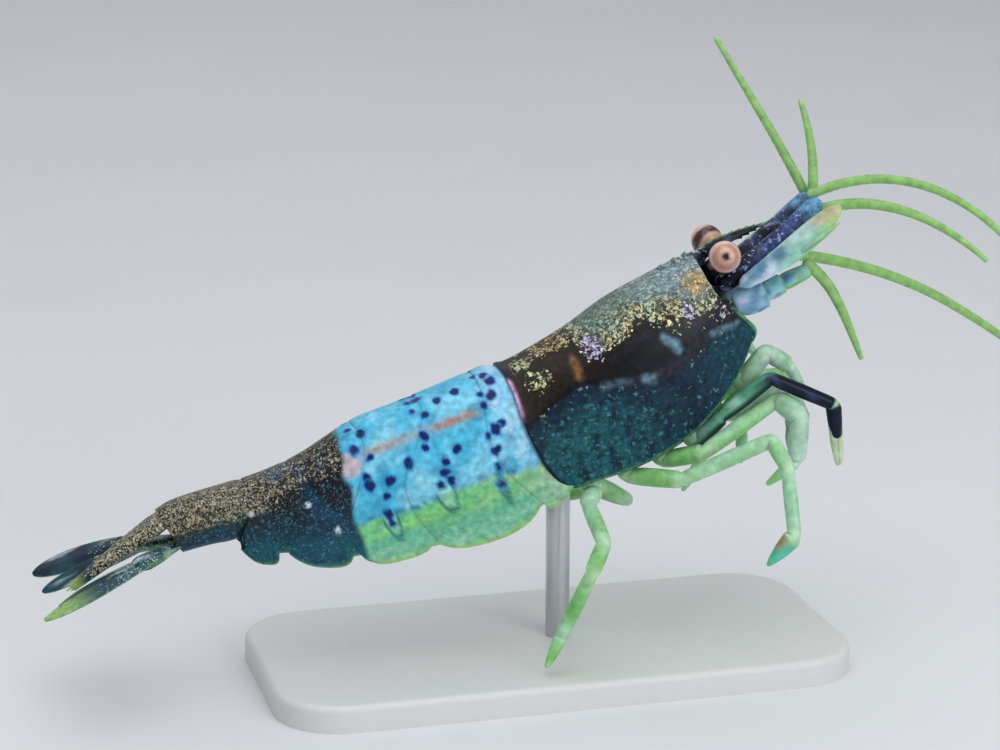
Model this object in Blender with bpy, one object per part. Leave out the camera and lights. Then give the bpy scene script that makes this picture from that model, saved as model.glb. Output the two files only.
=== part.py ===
"""Blue rili cherry shrimp: an adult female at life size, swimming, held by a small display stand.

The animal is modelled in its own level frame: x runs to the head, y to its left side, z up, and the origin
is at the top of the back where the carapace meets the abdomen. Sizes there are in millimetres and become
metres when a mesh is made. The empty "pose" then tips the animal nose up and lifts it over the stand, whose
base is centred on the world's origin and stands on z = 0.
"""
import bpy
import bmesh
from math import acos, cos, pi, radians, sin, sqrt, tan
from mathutils import Vector

# Driving dimensions: millimetres, and degrees where a name says so
MM = 0.001
NOSE_UP_DEGREES = 26
BACK_HEIGHT = 11.8
BACK_AHEAD_OF_STAND = -1.6
GAP = 0.3
SHELL_EDGE = 0.45

ROSTRUM_TIP = 11.22
ORBIT_X = 8.0
EYE_RADIUS = 0.6
EYE_CENTRES = {"L": (9.02, 1.22, -0.12), "R": (8.84, 1.25, -0.14)}
EYE_ROOT = (8.24, 0.64, -0.42)

BASE_LENGTH, BASE_WIDTH, BASE_THICK = 22.0, 10.5, 1.0
ROD_RADIUS = 0.45
ROD_BODY_X = -0.15

FLANK_STEPS = 10
TROUGH_STEP = 8
SMOOTH_DEGREES = 40


def smooth_line(*points):
    """A smooth line through (x, value) points that run upwards in x; it keeps its end values outside them."""
    slopes = []
    for i in range(len(points)):
        before, after = points[max(i - 1, 0)], points[min(i + 1, len(points) - 1)]
        slopes.append((after[1] - before[1]) / (after[0] - before[0]))

    def value(x):
        if x <= points[0][0]:
            return points[0][1]
        if x >= points[-1][0]:
            return points[-1][1]
        i = max(k for k in range(len(points) - 1) if points[k][0] <= x)
        (x0, v0), (x1, v1) = points[i], points[i + 1]
        width = x1 - x0
        t = (x - x0) / width
        return (
            v0 * (1 + 2 * t) * (1 - t) ** 2
            + v1 * (3 - 2 * t) * t * t
            + slopes[i] * width * t * (1 - t) ** 2
            - slopes[i + 1] * width * (1 - t) * t * t
        )

    return value


# The body seen from the side and from above: height of the back, lower edge of the shell, half width
BACK = smooth_line(
    (-13.9, 1.5), (-13.2, 1.56), (-12.1, 1.36), (-10.7, 1.0), (-9.5, 0.78), (-8.2, 0.69), (-7.0, 0.78),
    (-5.9, 0.86), (-4.4, 0.64), (-2.8, 0.45), (-1.3, 0.27), (-0.5, 0.16), (0.0, -0.04), (1.2, -0.08),
    (2.8, -0.02), (4.5, 0.2), (6.5, 0.2), (8.2, 0.17), (9.5, 0.12),
)
EDGE = smooth_line(
    (-12.0, -1.25), (-11.3, -1.95), (-10.4, -2.45), (-9.4, -3.15), (-8.4, -3.65), (-7.4, -4.12), (-6.0, -4.5),
    (-5.0, -4.92), (-4.0, -5.22), (-3.0, -5.42), (-1.6, -5.42), (0.1, -5.2), (0.7, -5.28), (1.5, -5.42),
    (2.6, -5.56), (4.0, -5.56), (5.0, -5.42), (6.0, -5.1), (6.8, -4.74), (7.4, -4.42), (7.9, -4.1), (8.4, -3.7),
)
HALF_WIDTH = smooth_line(
    (-13.9, 0.78), (-12.5, 0.88), (-11.0, 1.1), (-9.0, 1.4), (-7.0, 1.62), (-4.5, 1.78), (-2.0, 1.82),
    (-0.5, 1.78), (0.5, 1.84), (2.0, 2.06), (3.6, 2.2), (5.3, 2.15), (6.8, 1.95), (8.0, 1.6), (8.7, 1.3),
)
STERNUM = smooth_line(
    (-0.5, -4.98), (1.0, -5.05), (2.5, -5.25), (4.0, -5.33), (5.0, -5.2), (6.1, -4.85), (6.8, -4.5),
    (7.4, -4.1), (8.1, -3.5), (8.8, -2.95),
)
TUCK_CARAPACE, TUCK_ABDOMEN, TUCK_LAST = 0.84, 0.92, 0.45

# The seams between the shells: x against the way down the flank, 0 on the back and 1 at the lower edge
SEAMS = (
    smooth_line((0, -0.3), (0.35, -0.4), (0.6, -0.62), (0.8, -0.64), (0.88, -0.52), (0.95, -0.26), (1.0, 0.1)),
    smooth_line((0, -1.3), (0.3, -1.45), (0.6, -1.95), (0.8, -2.0), (1.0, -1.15)),
    smooth_line((0, -3.55), (0.25, -3.7), (0.45, -4.35), (0.65, -5.2), (0.85, -5.65), (1.0, -5.35)),
    smooth_line((0, -6.05), (0.3, -6.1), (0.5, -6.55), (0.7, -7.35), (0.9, -8.1), (1.0, -8.0)),
    smooth_line((0, -8.75), (0.45, -8.9), (0.7, -9.5), (0.9, -10.15), (1.0, -10.3)),
    smooth_line((0, -10.45), (0.4, -10.6), (0.6, -10.9), (0.8, -11.35), (1.0, -11.75)),
    smooth_line((0, -13.75), (1.0, -13.6)),
)
FRONT_EDGE = smooth_line(
    (0, ORBIT_X), (0.3, 7.9), (0.5, 7.9), (0.62, 8.07), (0.76, 8.4), (0.84, 8.6), (0.9, 8.78),
    (0.95, 8.8), (1, 8.5),
)
LOBE_RISE = (0.04, 0.35, 0.3, 0.45, 0.5)

# Legs: the place of each root, the lengths of the segments and their radii, root to tip
LEG_ROOTS = ((6.15, 0.68), (4.8, 0.7), (3.45, 0.7), (2.1, 0.7), (0.75, 0.68))
LEG_LENGTHS = (
    (0.5, 1.1, 2.0, 1.1, 1.75),
    (0.6, 1.4, 2.3, 2.65, 2.4),
    (0.6, 1.6, 3.5, 1.15, 1.7, 1.35),
    (0.6, 2.1, 3.6, 1.2, 2.5, 1.45),
    (0.6, 1.0, 2.4, 1.2, 2.8, 1.2),
)
CLAW_RADII = (0.38, 0.33, 0.29, 0.33, 0.38)
SLIM_CLAW_RADII = (0.38, 0.34, 0.29, 0.26, 0.3)
WALKING_RADII = (0.38, 0.34, 0.29, 0.29, 0.26, 0.25)
BROAD_FOOT = 0.36
# Pose of each segment in degrees: heading away from straight ahead to its own side, and dip below level
LEG_POSES = {
    "R": (
        ((-100, 49), (37, 19), (-19, 5), (79, 55), (151, 56)),
        ((64, 56), (19, -24), (11, -14), (12, 50), (-173, 72)),
        ((76, 43), (36, 5), (-7, -4), (70, 39), (180, 60), (-174, 13)),
        ((87, 42), (45, 15), (12, 1), (93, 51), (140, 58), (-166, 26)),
        ((100, 45), (122, -3), (100, 17), (153, 28), (-162, 42), (169, 34)),
    ),
    "L": (
        ((77, 46), (46, -21), (43, 2), (80, 44), (-157, 66)),
        ((41, 76), (-11, 12), (1, -21), (44, 30), (159, 72)),
        ((94, 42), (39, -2), (-6, 3), (101, 26), (-139, 59), (-125, 25)),
        ((87, 42), (45, 15), (14, 0), (95, 50), (142, 57), (-164, 25)),
        ((54, 58), (53, 54), (57, 47), (152, -40), (166, -18), (168, -12)),
    ),
}
MAXILLIPED_ROOT = (7.3, 0.52)
MAXILLIPED_LENGTHS = (0.5, 1.5, 1.15, 0.95)
MAXILLIPED_RADII = (0.34, 0.36, 0.33, 0.24)
MAXILLIPED_POSES = {
    "R": ((39, 53), (14, -30), (-16, 58), (27, 81)),
    "L": ((20, 42), (55, -30), (60, 24), (10, 75)),
}

# Feelers: root, headings, dips, length and radius at the root; both angles change evenly along the feeler
FEELERS = {
    "antennule_inner_R": ((13.3, 0.3, -0.02), (12, 45), (2, 24, 46, 64, 72), 9.2, 0.22),
    "antennule_outer_R": ((13.25, 0.72, -0.6), (24, 52), (7, 31, 48, 60), 6.4, 0.25),
    "antennule_inner_L": ((13.3, 0.28, -0.02), (35, 60), (-46, -55, -66), 3.4, 0.23),
    "antennule_outer_L": ((13.1, 0.84, -0.08), (90, 120), (-78, -76, -82), 6.6, 0.22),
    "antenna_feeler_R": ((11.64, 1.35, -2.18), (20, 50), (66, 86, 93, 93), 4.1, 0.26),
    "antenna_feeler_L": ((11.6, 1.35, -2.18), (15, 42), (35, 45, 54, 56, 52), 18.0, 0.26),
}
FEELER_TIP = 0.13


# Looks of the plain solids: colour, roughness, metallic
MATERIALS = {
    "carapace_shell": ((0.035, 0.045, 0.075, 1), 0.3, 0),
    "clear_shell": ((0.2, 0.5, 0.75, 1), 0.25, 0),
    "dark_shell": ((0.04, 0.1, 0.14, 1), 0.3, 0),
    "limb_shell": ((0.42, 0.68, 0.42, 1), 0.35, 0),
    "eye_surface": ((0.62, 0.4, 0.36, 1), 0.2, 0),
    "stand_plate": ((0.8, 0.8, 0.78, 1), 0.5, 0),
    "stand_steel": ((0.6, 0.61, 0.62, 1), 0.3, 1),
}


def make_material(name):
    colour, roughness, metallic = MATERIALS[name]
    material = bpy.data.materials.new(name)
    material.use_nodes = True
    shader = material.node_tree.nodes["Principled BSDF"]
    shader.inputs["Base Color"].default_value = colour
    shader.inputs["Roughness"].default_value = roughness
    shader.inputs["Metallic"].default_value = metallic
    return material


def clear_scene():
    for obj in list(bpy.data.objects):
        bpy.data.objects.remove(obj)


def piece(name, bm):
    """Turns a bmesh into an object with its faces outwards. It stays in millimetres, for a join."""
    bmesh.ops.recalc_face_normals(bm, faces=bm.faces)
    mesh = bpy.data.meshes.new(name)
    bm.to_mesh(mesh)
    bm.free()
    obj = bpy.data.objects.new(name, mesh)
    bpy.context.scene.collection.objects.link(obj)
    return obj


def node(name, bm, parent, material):
    """Turns a bmesh in millimetres into a finished node in metres, its round sides shaded smooth."""
    bmesh.ops.scale(bm, vec=(MM, MM, MM), verts=bm.verts)
    obj = piece(name, bm)
    obj.data.shade_smooth()
    obj.data.set_sharp_from_angle(angle=radians(SMOOTH_DEGREES))
    obj.data.materials.append(bpy.data.materials[material])
    obj.parent = parent
    return obj


def keep_largest(bm):
    """Drops every closed surface but the largest, by faces."""
    left, groups = set(bm.faces), []
    while left:
        stack, group = [left.pop()], []
        while stack:
            face = stack.pop()
            group.append(face)
            for edge in face.edges:
                for other in edge.link_faces:
                    if other in left:
                        left.remove(other)
                        stack.append(other)
        groups.append(group)
    groups.sort(key=len)
    loose = [face for group in groups[:-1] for face in group]
    bmesh.ops.delete(bm, geom=loose, context="FACES")


def joined(name, pieces, parent, material):
    """One closed node from several closed meshes, by one Boolean union."""
    base, extras = pieces[0], pieces[1:]
    group = bpy.data.collections.new(name + "_pieces")
    bpy.context.scene.collection.children.link(group)
    for extra in extras:
        bpy.context.scene.collection.objects.unlink(extra)
        group.objects.link(extra)
    union = base.modifiers.new("union", "BOOLEAN")
    union.operation = "UNION"
    union.solver = "EXACT"
    union.operand_type = "COLLECTION"
    union.collection = group
    bm = bmesh.new()
    bm.from_object(base, bpy.context.evaluated_depsgraph_get())
    for obj in pieces:
        bpy.data.objects.remove(obj)
    bpy.data.collections.remove(group)
    bmesh.ops.remove_doubles(bm, verts=bm.verts, dist=1e-4)
    keep_largest(bm)
    return node(name, bm, parent, material)


def skin(rings):
    """Joins rings of points into a closed tube with flat ends."""
    bm = bmesh.new()
    loops = [[bm.verts.new(point) for point in ring] for ring in rings]
    for first, second in zip(loops, loops[1:]):
        for i in range(len(first)):
            k = (i + 1) % len(first)
            bm.faces.new((first[i], first[k], second[k], second[i]))
    bm.faces.new(loops[0])
    bm.faces.new(loops[-1])
    return bm


def oval(centre, right, up, half_width, half_height, sides=12, fullness=1.0):
    """A ring of points; a fullness under 1 makes the oval boxier."""
    points = []
    for i in range(sides):
        angle = 2 * pi * (i + 0.5) / sides
        across, upward = cos(angle), sin(angle)
        across = abs(across) ** fullness * (1 if across > 0 else -1)
        upward = abs(upward) ** fullness * (1 if upward > 0 else -1)
        offset = Vector(right) * across * half_width + Vector(up) * upward * half_height
        points.append(Vector(centre) + offset)
    return points


def flank(x, s, edge, tuck):
    """Half breadth and height of the shell's outer surface at x, a share s of the way from back to edge."""
    fullness = 0.8
    back, low = BACK(x), edge(x)
    drop = acos(tuck ** (1 / fullness))
    angle = pi / 2 - s * (pi / 2 + drop)
    middle = (back + low) / 2
    breadth = HALF_WIDTH(x) * max(cos(angle), 0) ** fullness
    if angle > 0:
        return breadth, middle + (back - middle) * sin(angle)
    return breadth, middle + (middle - low) * sin(angle) / sin(drop)


def shell_block(front, rear, edge, tuck, stations, has_trough=True):
    """A closed length of the body between two seams, with a trough underneath for what grows there."""
    bm = bmesh.new()
    start = TROUGH_STEP if has_trough else FLANK_STEPS
    outer, inner = [], []
    for j in range(stations + 1):
        share = j / stations
        sides = {1: [], -1: []}
        walls = {1: {}, -1: {}}
        for i in range(FLANK_STEPS + 1):
            s = i / FLANK_STEPS
            x = rear(s) + (front(s) - rear(s)) * share
            y, z = flank(x, s, edge, tuck)
            if i == 0:
                top = bm.verts.new((x, 0, z))
                sides[1].append(top)
                sides[-1].append(top)
                continue
            for side in (1, -1):
                sides[side].append(bm.verts.new((x, side * y, z)))
                if has_trough and i >= start:
                    ceiling = 0.12 if i == start else 0
                    walls[side][i] = bm.verts.new((x, side * (y - SHELL_EDGE), z + ceiling))
        if not has_trough:
            walls = {side: {FLANK_STEPS: sides[side][-1]} for side in (1, -1)}
        outer.append(sides)
        inner.append(walls)
    for j in range(stations):
        for side in (1, -1):
            here, there = outer[j][side], outer[j + 1][side]
            for i in range(FLANK_STEPS):
                bm.faces.new((here[i], here[i + 1], there[i + 1], there[i]))
            if has_trough:
                low, wall_here, wall_there = FLANK_STEPS, inner[j][side], inner[j + 1][side]
                bm.faces.new((here[low], wall_here[low], wall_there[low], there[low]))
                for i in range(start, low):
                    bm.faces.new((wall_here[i], wall_here[i + 1], wall_there[i + 1], wall_there[i]))
        here, there = inner[j], inner[j + 1]
        bm.faces.new((here[1][start], here[-1][start], there[-1][start], there[1][start]))
    for j in (0, stations):
        left, right = outer[j][1], outer[j][-1]
        bm.faces.new((left[0], left[1], right[1]))
        for i in range(1, start - has_trough):
            bm.faces.new((left[i], left[i + 1], right[i + 1], right[i]))
        if has_trough:
            walls = inner[j]
            top = start - 1
            ceiling = (walls[1][start], walls[-1][start])
            bm.faces.new((left[top], left[start], *ceiling, right[start], right[top]))
            for side in (1, -1):
                for i in range(start, FLANK_STEPS):
                    sides, wall = outer[j][side], walls[side]
                    bm.faces.new((sides[i], sides[i + 1], wall[i + 1], wall[i]))
    return bm


def trough_ceiling(x, edge, tuck):
    return flank(x, TROUGH_STEP / FLANK_STEPS, edge, tuck)[1] + 0.12


def lobed(front_x, rear_x, rise):
    """The shell's lower edge as a rounded lobe that rises towards both of its corners."""
    def edge(x):
        share = 2 * (x - rear_x) / (front_x - rear_x) - 1
        return EDGE(x) + rise * min(abs(share), 1) ** 4
    return edge


def heading_vector(heading, dip, side):
    """A unit vector from a heading away from straight ahead to one side and a dip below level, in degrees."""
    level = cos(radians(dip))
    return Vector((cos(radians(heading)) * level, side * sin(radians(heading)) * level, -sin(radians(dip))))


def chain(root, lengths, pose, side):
    """The joints of a limb, from its root to its tip."""
    joints = [Vector(root)]
    for length, (heading, dip) in zip(lengths, pose):
        joints.append(joints[-1] + heading_vector(heading, dip, side) * length)
    return joints


def turned_rings(points, radii, sides, first_normal=None, flat=1.0):
    """Rings square to a path of points, carried along it without twisting; flat narrows them one way."""
    rings = []
    normal = first_normal or (points[1] - points[0]).normalized()
    right = normal.orthogonal().normalized()
    for i, (point, radius) in enumerate(zip(points, radii)):
        if i == 0:
            tangent, stretch = normal, 1.0
        elif i == len(points) - 1:
            tangent, stretch = (points[-1] - points[-2]).normalized(), 1.0
        else:
            before = (point - points[i - 1]).normalized()
            after = (points[i + 1] - point).normalized()
            tangent = (before + after).normalized()
            stretch = min(1 / max(tangent.dot(after), 0.5), 1.35)
        right = (right - tangent * right.dot(tangent)).normalized()
        up = tangent.cross(right)
        bend = Vector((0, 0, 0))
        if 0 < i < len(points) - 1:
            bend = before - after
        ring = []
        for k in range(sides):
            angle = 2 * pi * (k + 0.5) / sides
            offset = right * cos(angle) + up * sin(angle) * flat
            if bend.length > 0.05:
                along_bend = bend.normalized()
                offset += along_bend * offset.dot(along_bend) * (stretch - 1)
            ring.append(point + offset * radius)
        rings.append(ring)
    return rings


def limb_stations(joints, radii, tip_radius):
    """Points and radii along a jointed limb: each segment swells between its narrower joints."""
    points, sizes = [joints[0]], [radii[0]]
    last = len(joints) - 2
    for i, (start, end) in enumerate(zip(joints, joints[1:])):
        length = (end - start).length
        direction = (end - start) / length
        if i == 0 and length < 1:
            points.append(end)
            sizes.append(0.95 * radii[0])
            continue

        def turn_room(other):
            half = direction.angle(other, 0) / 2
            return radii[i] * tan(min(half, radians(60)))

        room_start = turn_room((start - joints[i - 1])) if i else 0.0
        room_end = turn_room((joints[i + 2] - end)) if i < last else 0.0
        near = max(0.16, (room_start + 0.06) / length)
        far = 1 - max(0.16, (room_end + 0.06) / length)
        next_radius = radii[min(i + 1, last)]
        if near + 0.12 < far:
            shares = ((near, 0.98), (far, 1.0))
        else:
            shares = ((min(max((near + far) / 2, 0.3), 0.7), 1.0),)
        for share, swell in shares:
            points.append(start.lerp(end, share))
            sizes.append(radii[i] * swell * (0.72 if i == last and share > 0.6 else 1))
        points.append(end)
        sizes.append(0.9 * (radii[i] + next_radius) / 2 if i < last else tip_radius)
    return points, sizes


def make_limb(name, joints, radii, parent, material, tip_radius=0.1, sides=8):
    points, sizes = limb_stations(joints, radii, tip_radius)
    rings = turned_rings(points, sizes, sides, first_normal=Vector((0, 0, -1)))
    return node(name, skin(rings), parent, material)


def finger(wrist, tip, radius, bow, sides=6):
    """One finger of a claw, bowed away from the other."""
    middle = wrist.lerp(tip, 0.5) + bow
    points = [wrist, wrist.lerp(middle, 0.6), middle, middle.lerp(tip, 0.6), tip]
    sizes = [radius, radius, radius * 0.9, radius * 0.75, radius * 0.45]
    return skin(turned_rings(points, sizes, sides))


def make_clawed_leg(name, joints, radii, side, parent, material):
    """A leg that ends in a claw: a flattened palm and two fingers that nearly close."""
    wrist, tip = joints[-2], joints[-1]
    reach = tip - wrist
    palm_end = wrist + reach * 0.5
    points, sizes = limb_stations(joints[:-1] + [palm_end], radii, radii[-1] * 0.7)
    rings = turned_rings(points, sizes, 8, first_normal=Vector((0, 0, -1)))
    pieces = [piece(name + "_arm", skin(rings))]
    spread = reach.normalized().cross(Vector((0, side, 0))).normalized()
    root = wrist + reach * 0.36
    for sign in (1, -1):
        start = root + spread * sign * radii[-1] * 0.38
        end = tip + spread * sign * 0.1
        bm = finger(start, end, radii[-1] * 0.5, spread * sign * radii[-1] * 0.22)
        pieces.append(piece(name + "_finger", bm))
    return joined(name, pieces, parent, material)


def blade(path, half_widths, half_thick, across, ridge=1.25):
    """A leaf-like plate along a path, thickest along its middle and with a raised rib on both faces."""
    outline = (
        (-1, 0), (-0.55, 0.72), (-0.14, 0.8), (0, ridge), (0.14, 0.8), (0.55, 0.72),
        (1, 0), (0.55, -0.72), (0.14, -0.8), (0, -ridge), (-0.14, -0.8), (-0.55, -0.72),
    )
    rings = []
    for i, (point, half_width) in enumerate(zip(path, half_widths)):
        tangent = (path[min(i + 1, len(path) - 1)] - path[max(i - 1, 0)]).normalized()
        side = (across - tangent * across.dot(tangent)).normalized()
        normal = tangent.cross(side)
        thick = min(half_thick, 0.9 * half_width + 0.06)
        rings.append([point + side * u * half_width + normal * v * thick for u, v in outline])
    return skin(rings)


def leaf_widths(count, root, widest, tip, peak=0.58):
    """Half widths along a leaf from its root to its rounded tip."""
    widths = []
    for i in range(count):
        t = i / (count - 1)
        if t < peak:
            widths.append(root + (widest - root) * sin(pi / 2 * t / peak))
        else:
            u = (t - peak) / (1 - peak)
            widths.append(tip + (widest - tip) * sqrt(max(1 - u * u, 0)))
    return widths


def straight_path(start, end, count, bow=Vector((0, 0, 0))):
    """Points from start to end, closer together near the end, with a bow in the middle."""
    points = []
    for i in range(count):
        t = sin(pi / 2 * i / (count - 1)) if i else 0.0
        points.append(start.lerp(end, t) + bow * sin(pi * t))
    return points


# Shell of the body

def make_carapace(pose):
    body = piece("carapace_body", shell_block(FRONT_EDGE, SEAMS[0], EDGE, TUCK_CARAPACE, 16))
    pieces = [body]
    for x in (6.5, 7.0, 7.5):
        root = Vector((x, 0, BACK(x) - 0.15))
        point = Vector((x + 0.36, 0, BACK(x) + 0.17))
        rings = turned_rings([root, root.lerp(point, 0.5), point], [0.16, 0.1, 0.03], 6)
        pieces.append(piece("crest_tooth", skin(rings)))
    return joined("carapace", pieces, pose, "carapace_shell")


def make_rostrum(pose):
    """The blade between the eyes: a saw-toothed crest over a thicker keel."""
    root, tip = ORBIT_X + GAP, ROSTRUM_TIP
    upper_teeth, lower_teeth = 9, 4
    top = smooth_line((8.0, 0.24), (9.4, 0.18), (10.3, 0.02), (11.0, -0.17))
    bottom = smooth_line((8.0, -0.36), (9.4, -0.36), (10.3, -0.3), (11.0, -0.2))
    outline = []
    pitch = (tip - 0.25 - root) / upper_teeth
    for i in range(upper_teeth):
        x = root + i * pitch
        outline += [(x, top(x)), (x + pitch * 0.62, top(x + pitch * 0.62) + 0.06)]
        outline.append((x + pitch * 0.98, top(x + pitch) + 0.12))
    outline.append((tip, -0.16))
    lower_root = 9.7
    pitch = (tip - 0.3 - lower_root) / lower_teeth
    for i in reversed(range(lower_teeth)):
        x = lower_root + i * pitch
        outline.append((x + pitch * 0.98, bottom(x + pitch) - 0.08))
        outline.append((x, bottom(x)))
    outline.append((root, bottom(root)))
    bm = bmesh.new()
    face = bm.faces.new([bm.verts.new((x, 0, z)) for x, z in outline])
    grown = bmesh.ops.extrude_face_region(bm, geom=[face])["geom"]
    moved = {item for item in grown if isinstance(item, bmesh.types.BMVert)}
    for vert in bm.verts:
        taper = 1 - 0.6 * (vert.co.x - root) / (tip - root)
        vert.co.y = 0.12 * taper if vert in moved else -0.12 * taper
    crest = piece("rostrum_crest", bm)
    keel_points = [Vector((x, 0, -0.1 - 0.02 * (x - root))) for x in (root + 0.02, 9.3, 10.1, 10.75)]
    sizes = zip(keel_points, (0.3, 0.27, 0.2, 0.1))
    rings = [oval(p, (0, 1, 0), (0, 0, 1), w, w * 0.75, 8) for p, w in sizes]
    keel = piece("rostrum_keel", skin(rings))
    joined("rostrum", [crest, keel], pose, "carapace_shell")


def make_abdomen(pose):
    for i in range(5):
        def front(s, seam=SEAMS[i]):
            return seam(s) - GAP
        rear = SEAMS[i + 1]
        edge = lobed(front(1.0), rear(1.0), LOBE_RISE[i])
        bm = shell_block(front, rear, edge, TUCK_ABDOMEN, 6 if i else 4)
        shade = "clear_shell" if i < 3 else "dark_shell"
        node("somite_%d" % (i + 1), bm, pose, shade)

    def front(s):
        return SEAMS[5](s) - GAP
    underside = smooth_line((-14.0, -0.15), (-13.0, -0.38), (-12.2, -0.62), (-11.6, -0.9))
    bm = shell_block(front, SEAMS[6], underside, TUCK_LAST, 6, has_trough=False)
    node("somite_6", bm, pose, "dark_shell")


def make_underside(pose):
    """The breast that carries the legs, and the mouth parts ahead of it, both in the carapace's trough."""
    widths = smooth_line(
        (-0.5, 0.72), (0.8, 0.84), (2.5, 1.02), (5.0, 1.04), (6.8, 0.86), (7.8, 0.7), (8.8, 0.45),
    )
    spans = (
        ("breast", (-0.45, 0.4, 1.3, 2.2, 3.2, 4.2, 5.2, 6.0, 6.6)),
        ("mouthparts", (6.9, 7.4, 7.9, 8.3, 8.6)),
    )
    for name, stations in spans:
        rings = []
        for x in stations:
            top = trough_ceiling(x, EDGE, TUCK_CARAPACE) - GAP
            low = STERNUM(x)
            centre = (x, 0, (top + low) / 2)
            rings.append(oval(centre, (0, 1, 0), (0, 0, 1), widths(x), (top - low) / 2, 16, 0.55))
        node(name, skin(rings), pose, "limb_shell")


# Head

def make_eye(name, side, pose):
    """A short stalk that swells into the round eye."""
    root = Vector((EYE_ROOT[0], side * EYE_ROOT[1], EYE_ROOT[2]))
    x, y, z = EYE_CENTRES[name[-1]]
    centre = Vector((x, side * y, z))
    axis = (centre - root).normalized()
    reach = (centre - root).length
    stalk = 0.3
    joins = reach - sqrt(EYE_RADIUS ** 2 - stalk ** 2)
    stations = [(0.0, 0.26), (joins * 0.5, 0.28)]
    widest = acos(-sqrt(1 - (stalk / EYE_RADIUS) ** 2))
    for i in range(8):
        angle = widest * (1 - i / 7.4)
        stations.append((reach + EYE_RADIUS * cos(angle), EYE_RADIUS * sin(angle)))
    points = [root + axis * d for d, _ in stations]
    rings = turned_rings(points, [r for _, r in stations], 14)
    node(name, skin(rings), pose, "eye_surface")


def make_antennule_base(name, side, pose):
    joints = [Vector((x, side * y, z)) for x, y, z in (
        (8.55, 0.53, -1.3), (10.5, 0.55, -0.98), (11.7, 0.53, -0.72), (12.9, 0.52, -0.38))]
    points, sizes = limb_stations(joints, (0.4, 0.38, 0.4), 0.42)
    rings = turned_rings(points, sizes, 10, first_normal=Vector((1, 0, 0)))
    node(name, skin(rings), pose, "dark_shell")


def make_antenna_base(name, side, pose):
    joints = [Vector((x, side * y, z)) for x, y, z in (
        (8.85, 1.05, -2.1), (9.7, 1.3, -2.1), (10.4, 1.36, -2.08), (11.2, 1.36, -2.14))]
    points, sizes = limb_stations(joints, (0.48, 0.38, 0.33), 0.3)
    rings = turned_rings(points, sizes, 10, first_normal=Vector((1, 0, 0)))
    node(name, skin(rings), pose, "limb_shell")


def make_antennal_scale(name, side, pose):
    """The broad flat plate beside each antennule, with a spine on its outer edge near the tip."""
    start, end = Vector((8.95, side * 1.38, -1.34)), Vector((13.5, side * 1.45, -0.48))
    across = Vector((0, side, -0.45))
    path = straight_path(start, end, 9, Vector((0, side * 0.3, -0.08)))
    plate = piece("scale_plate", blade(path, leaf_widths(9, 0.3, 0.62, 0.12, 0.5), 0.2, across))
    root = start.lerp(end, 0.62) + Vector((0, side * 0.68, -0.24))
    point = start.lerp(end, 0.9) + Vector((0, side * 0.68, -0.26))
    rings = turned_rings([root, root.lerp(point, 0.5), point], [0.2, 0.15, 0.05], 6)
    spine = piece("scale_spine", skin(rings))
    joined(name, [plate, spine], pose, "limb_shell")


def make_feeler(name, pose):
    (x, y, z), headings, dips, length, radius = FEELERS[name]
    side = 1 if name.endswith("L") else -1
    steps = max(8, round(length * 1.6))
    points = [Vector((x, side * y, z))]

    def between(values, share):
        place = share * (len(values) - 1)
        i = min(int(place), len(values) - 2)
        return values[i] + (values[i + 1] - values[i]) * (place - i)

    for i in range(steps):
        share = (i + 0.5) / steps
        step = heading_vector(between(headings, share), between(dips, share), side) * (length / steps)
        points.append(points[-1] + step)
    sizes = [radius + (FEELER_TIP - radius) * (i / steps) ** 1.5 for i in range(steps + 1)]
    node(name, skin(turned_rings(points, sizes, 6)), pose, "limb_shell")


# Limbs

def leg_root(x, y, side):
    return Vector((x, side * y, min(STERNUM(x - 0.25), STERNUM(x)) - GAP))


def make_legs(pose):
    for letter, side in (("L", 1), ("R", -1)):
        for number, (x, y) in enumerate(LEG_ROOTS, start=1):
            name = "leg_%d_%s" % (number, letter)
            joints = chain(leg_root(x, y, side), LEG_LENGTHS[number - 1], LEG_POSES[letter][number - 1], side)
            if number <= 2:
                radii = CLAW_RADII if number == 1 else SLIM_CLAW_RADII
                make_clawed_leg(name, joints, radii, side, pose, "limb_shell")
            else:
                radii = WALKING_RADII[:-1] + (BROAD_FOOT,) if name == "leg_4_R" else WALKING_RADII
                make_limb(name, joints, radii, pose, "limb_shell")
        joints = chain(leg_root(*MAXILLIPED_ROOT, side), MAXILLIPED_LENGTHS, MAXILLIPED_POSES[letter], side)
        make_limb("maxilliped_" + letter, joints, MAXILLIPED_RADII, pose, "limb_shell", 0.14)


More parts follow.
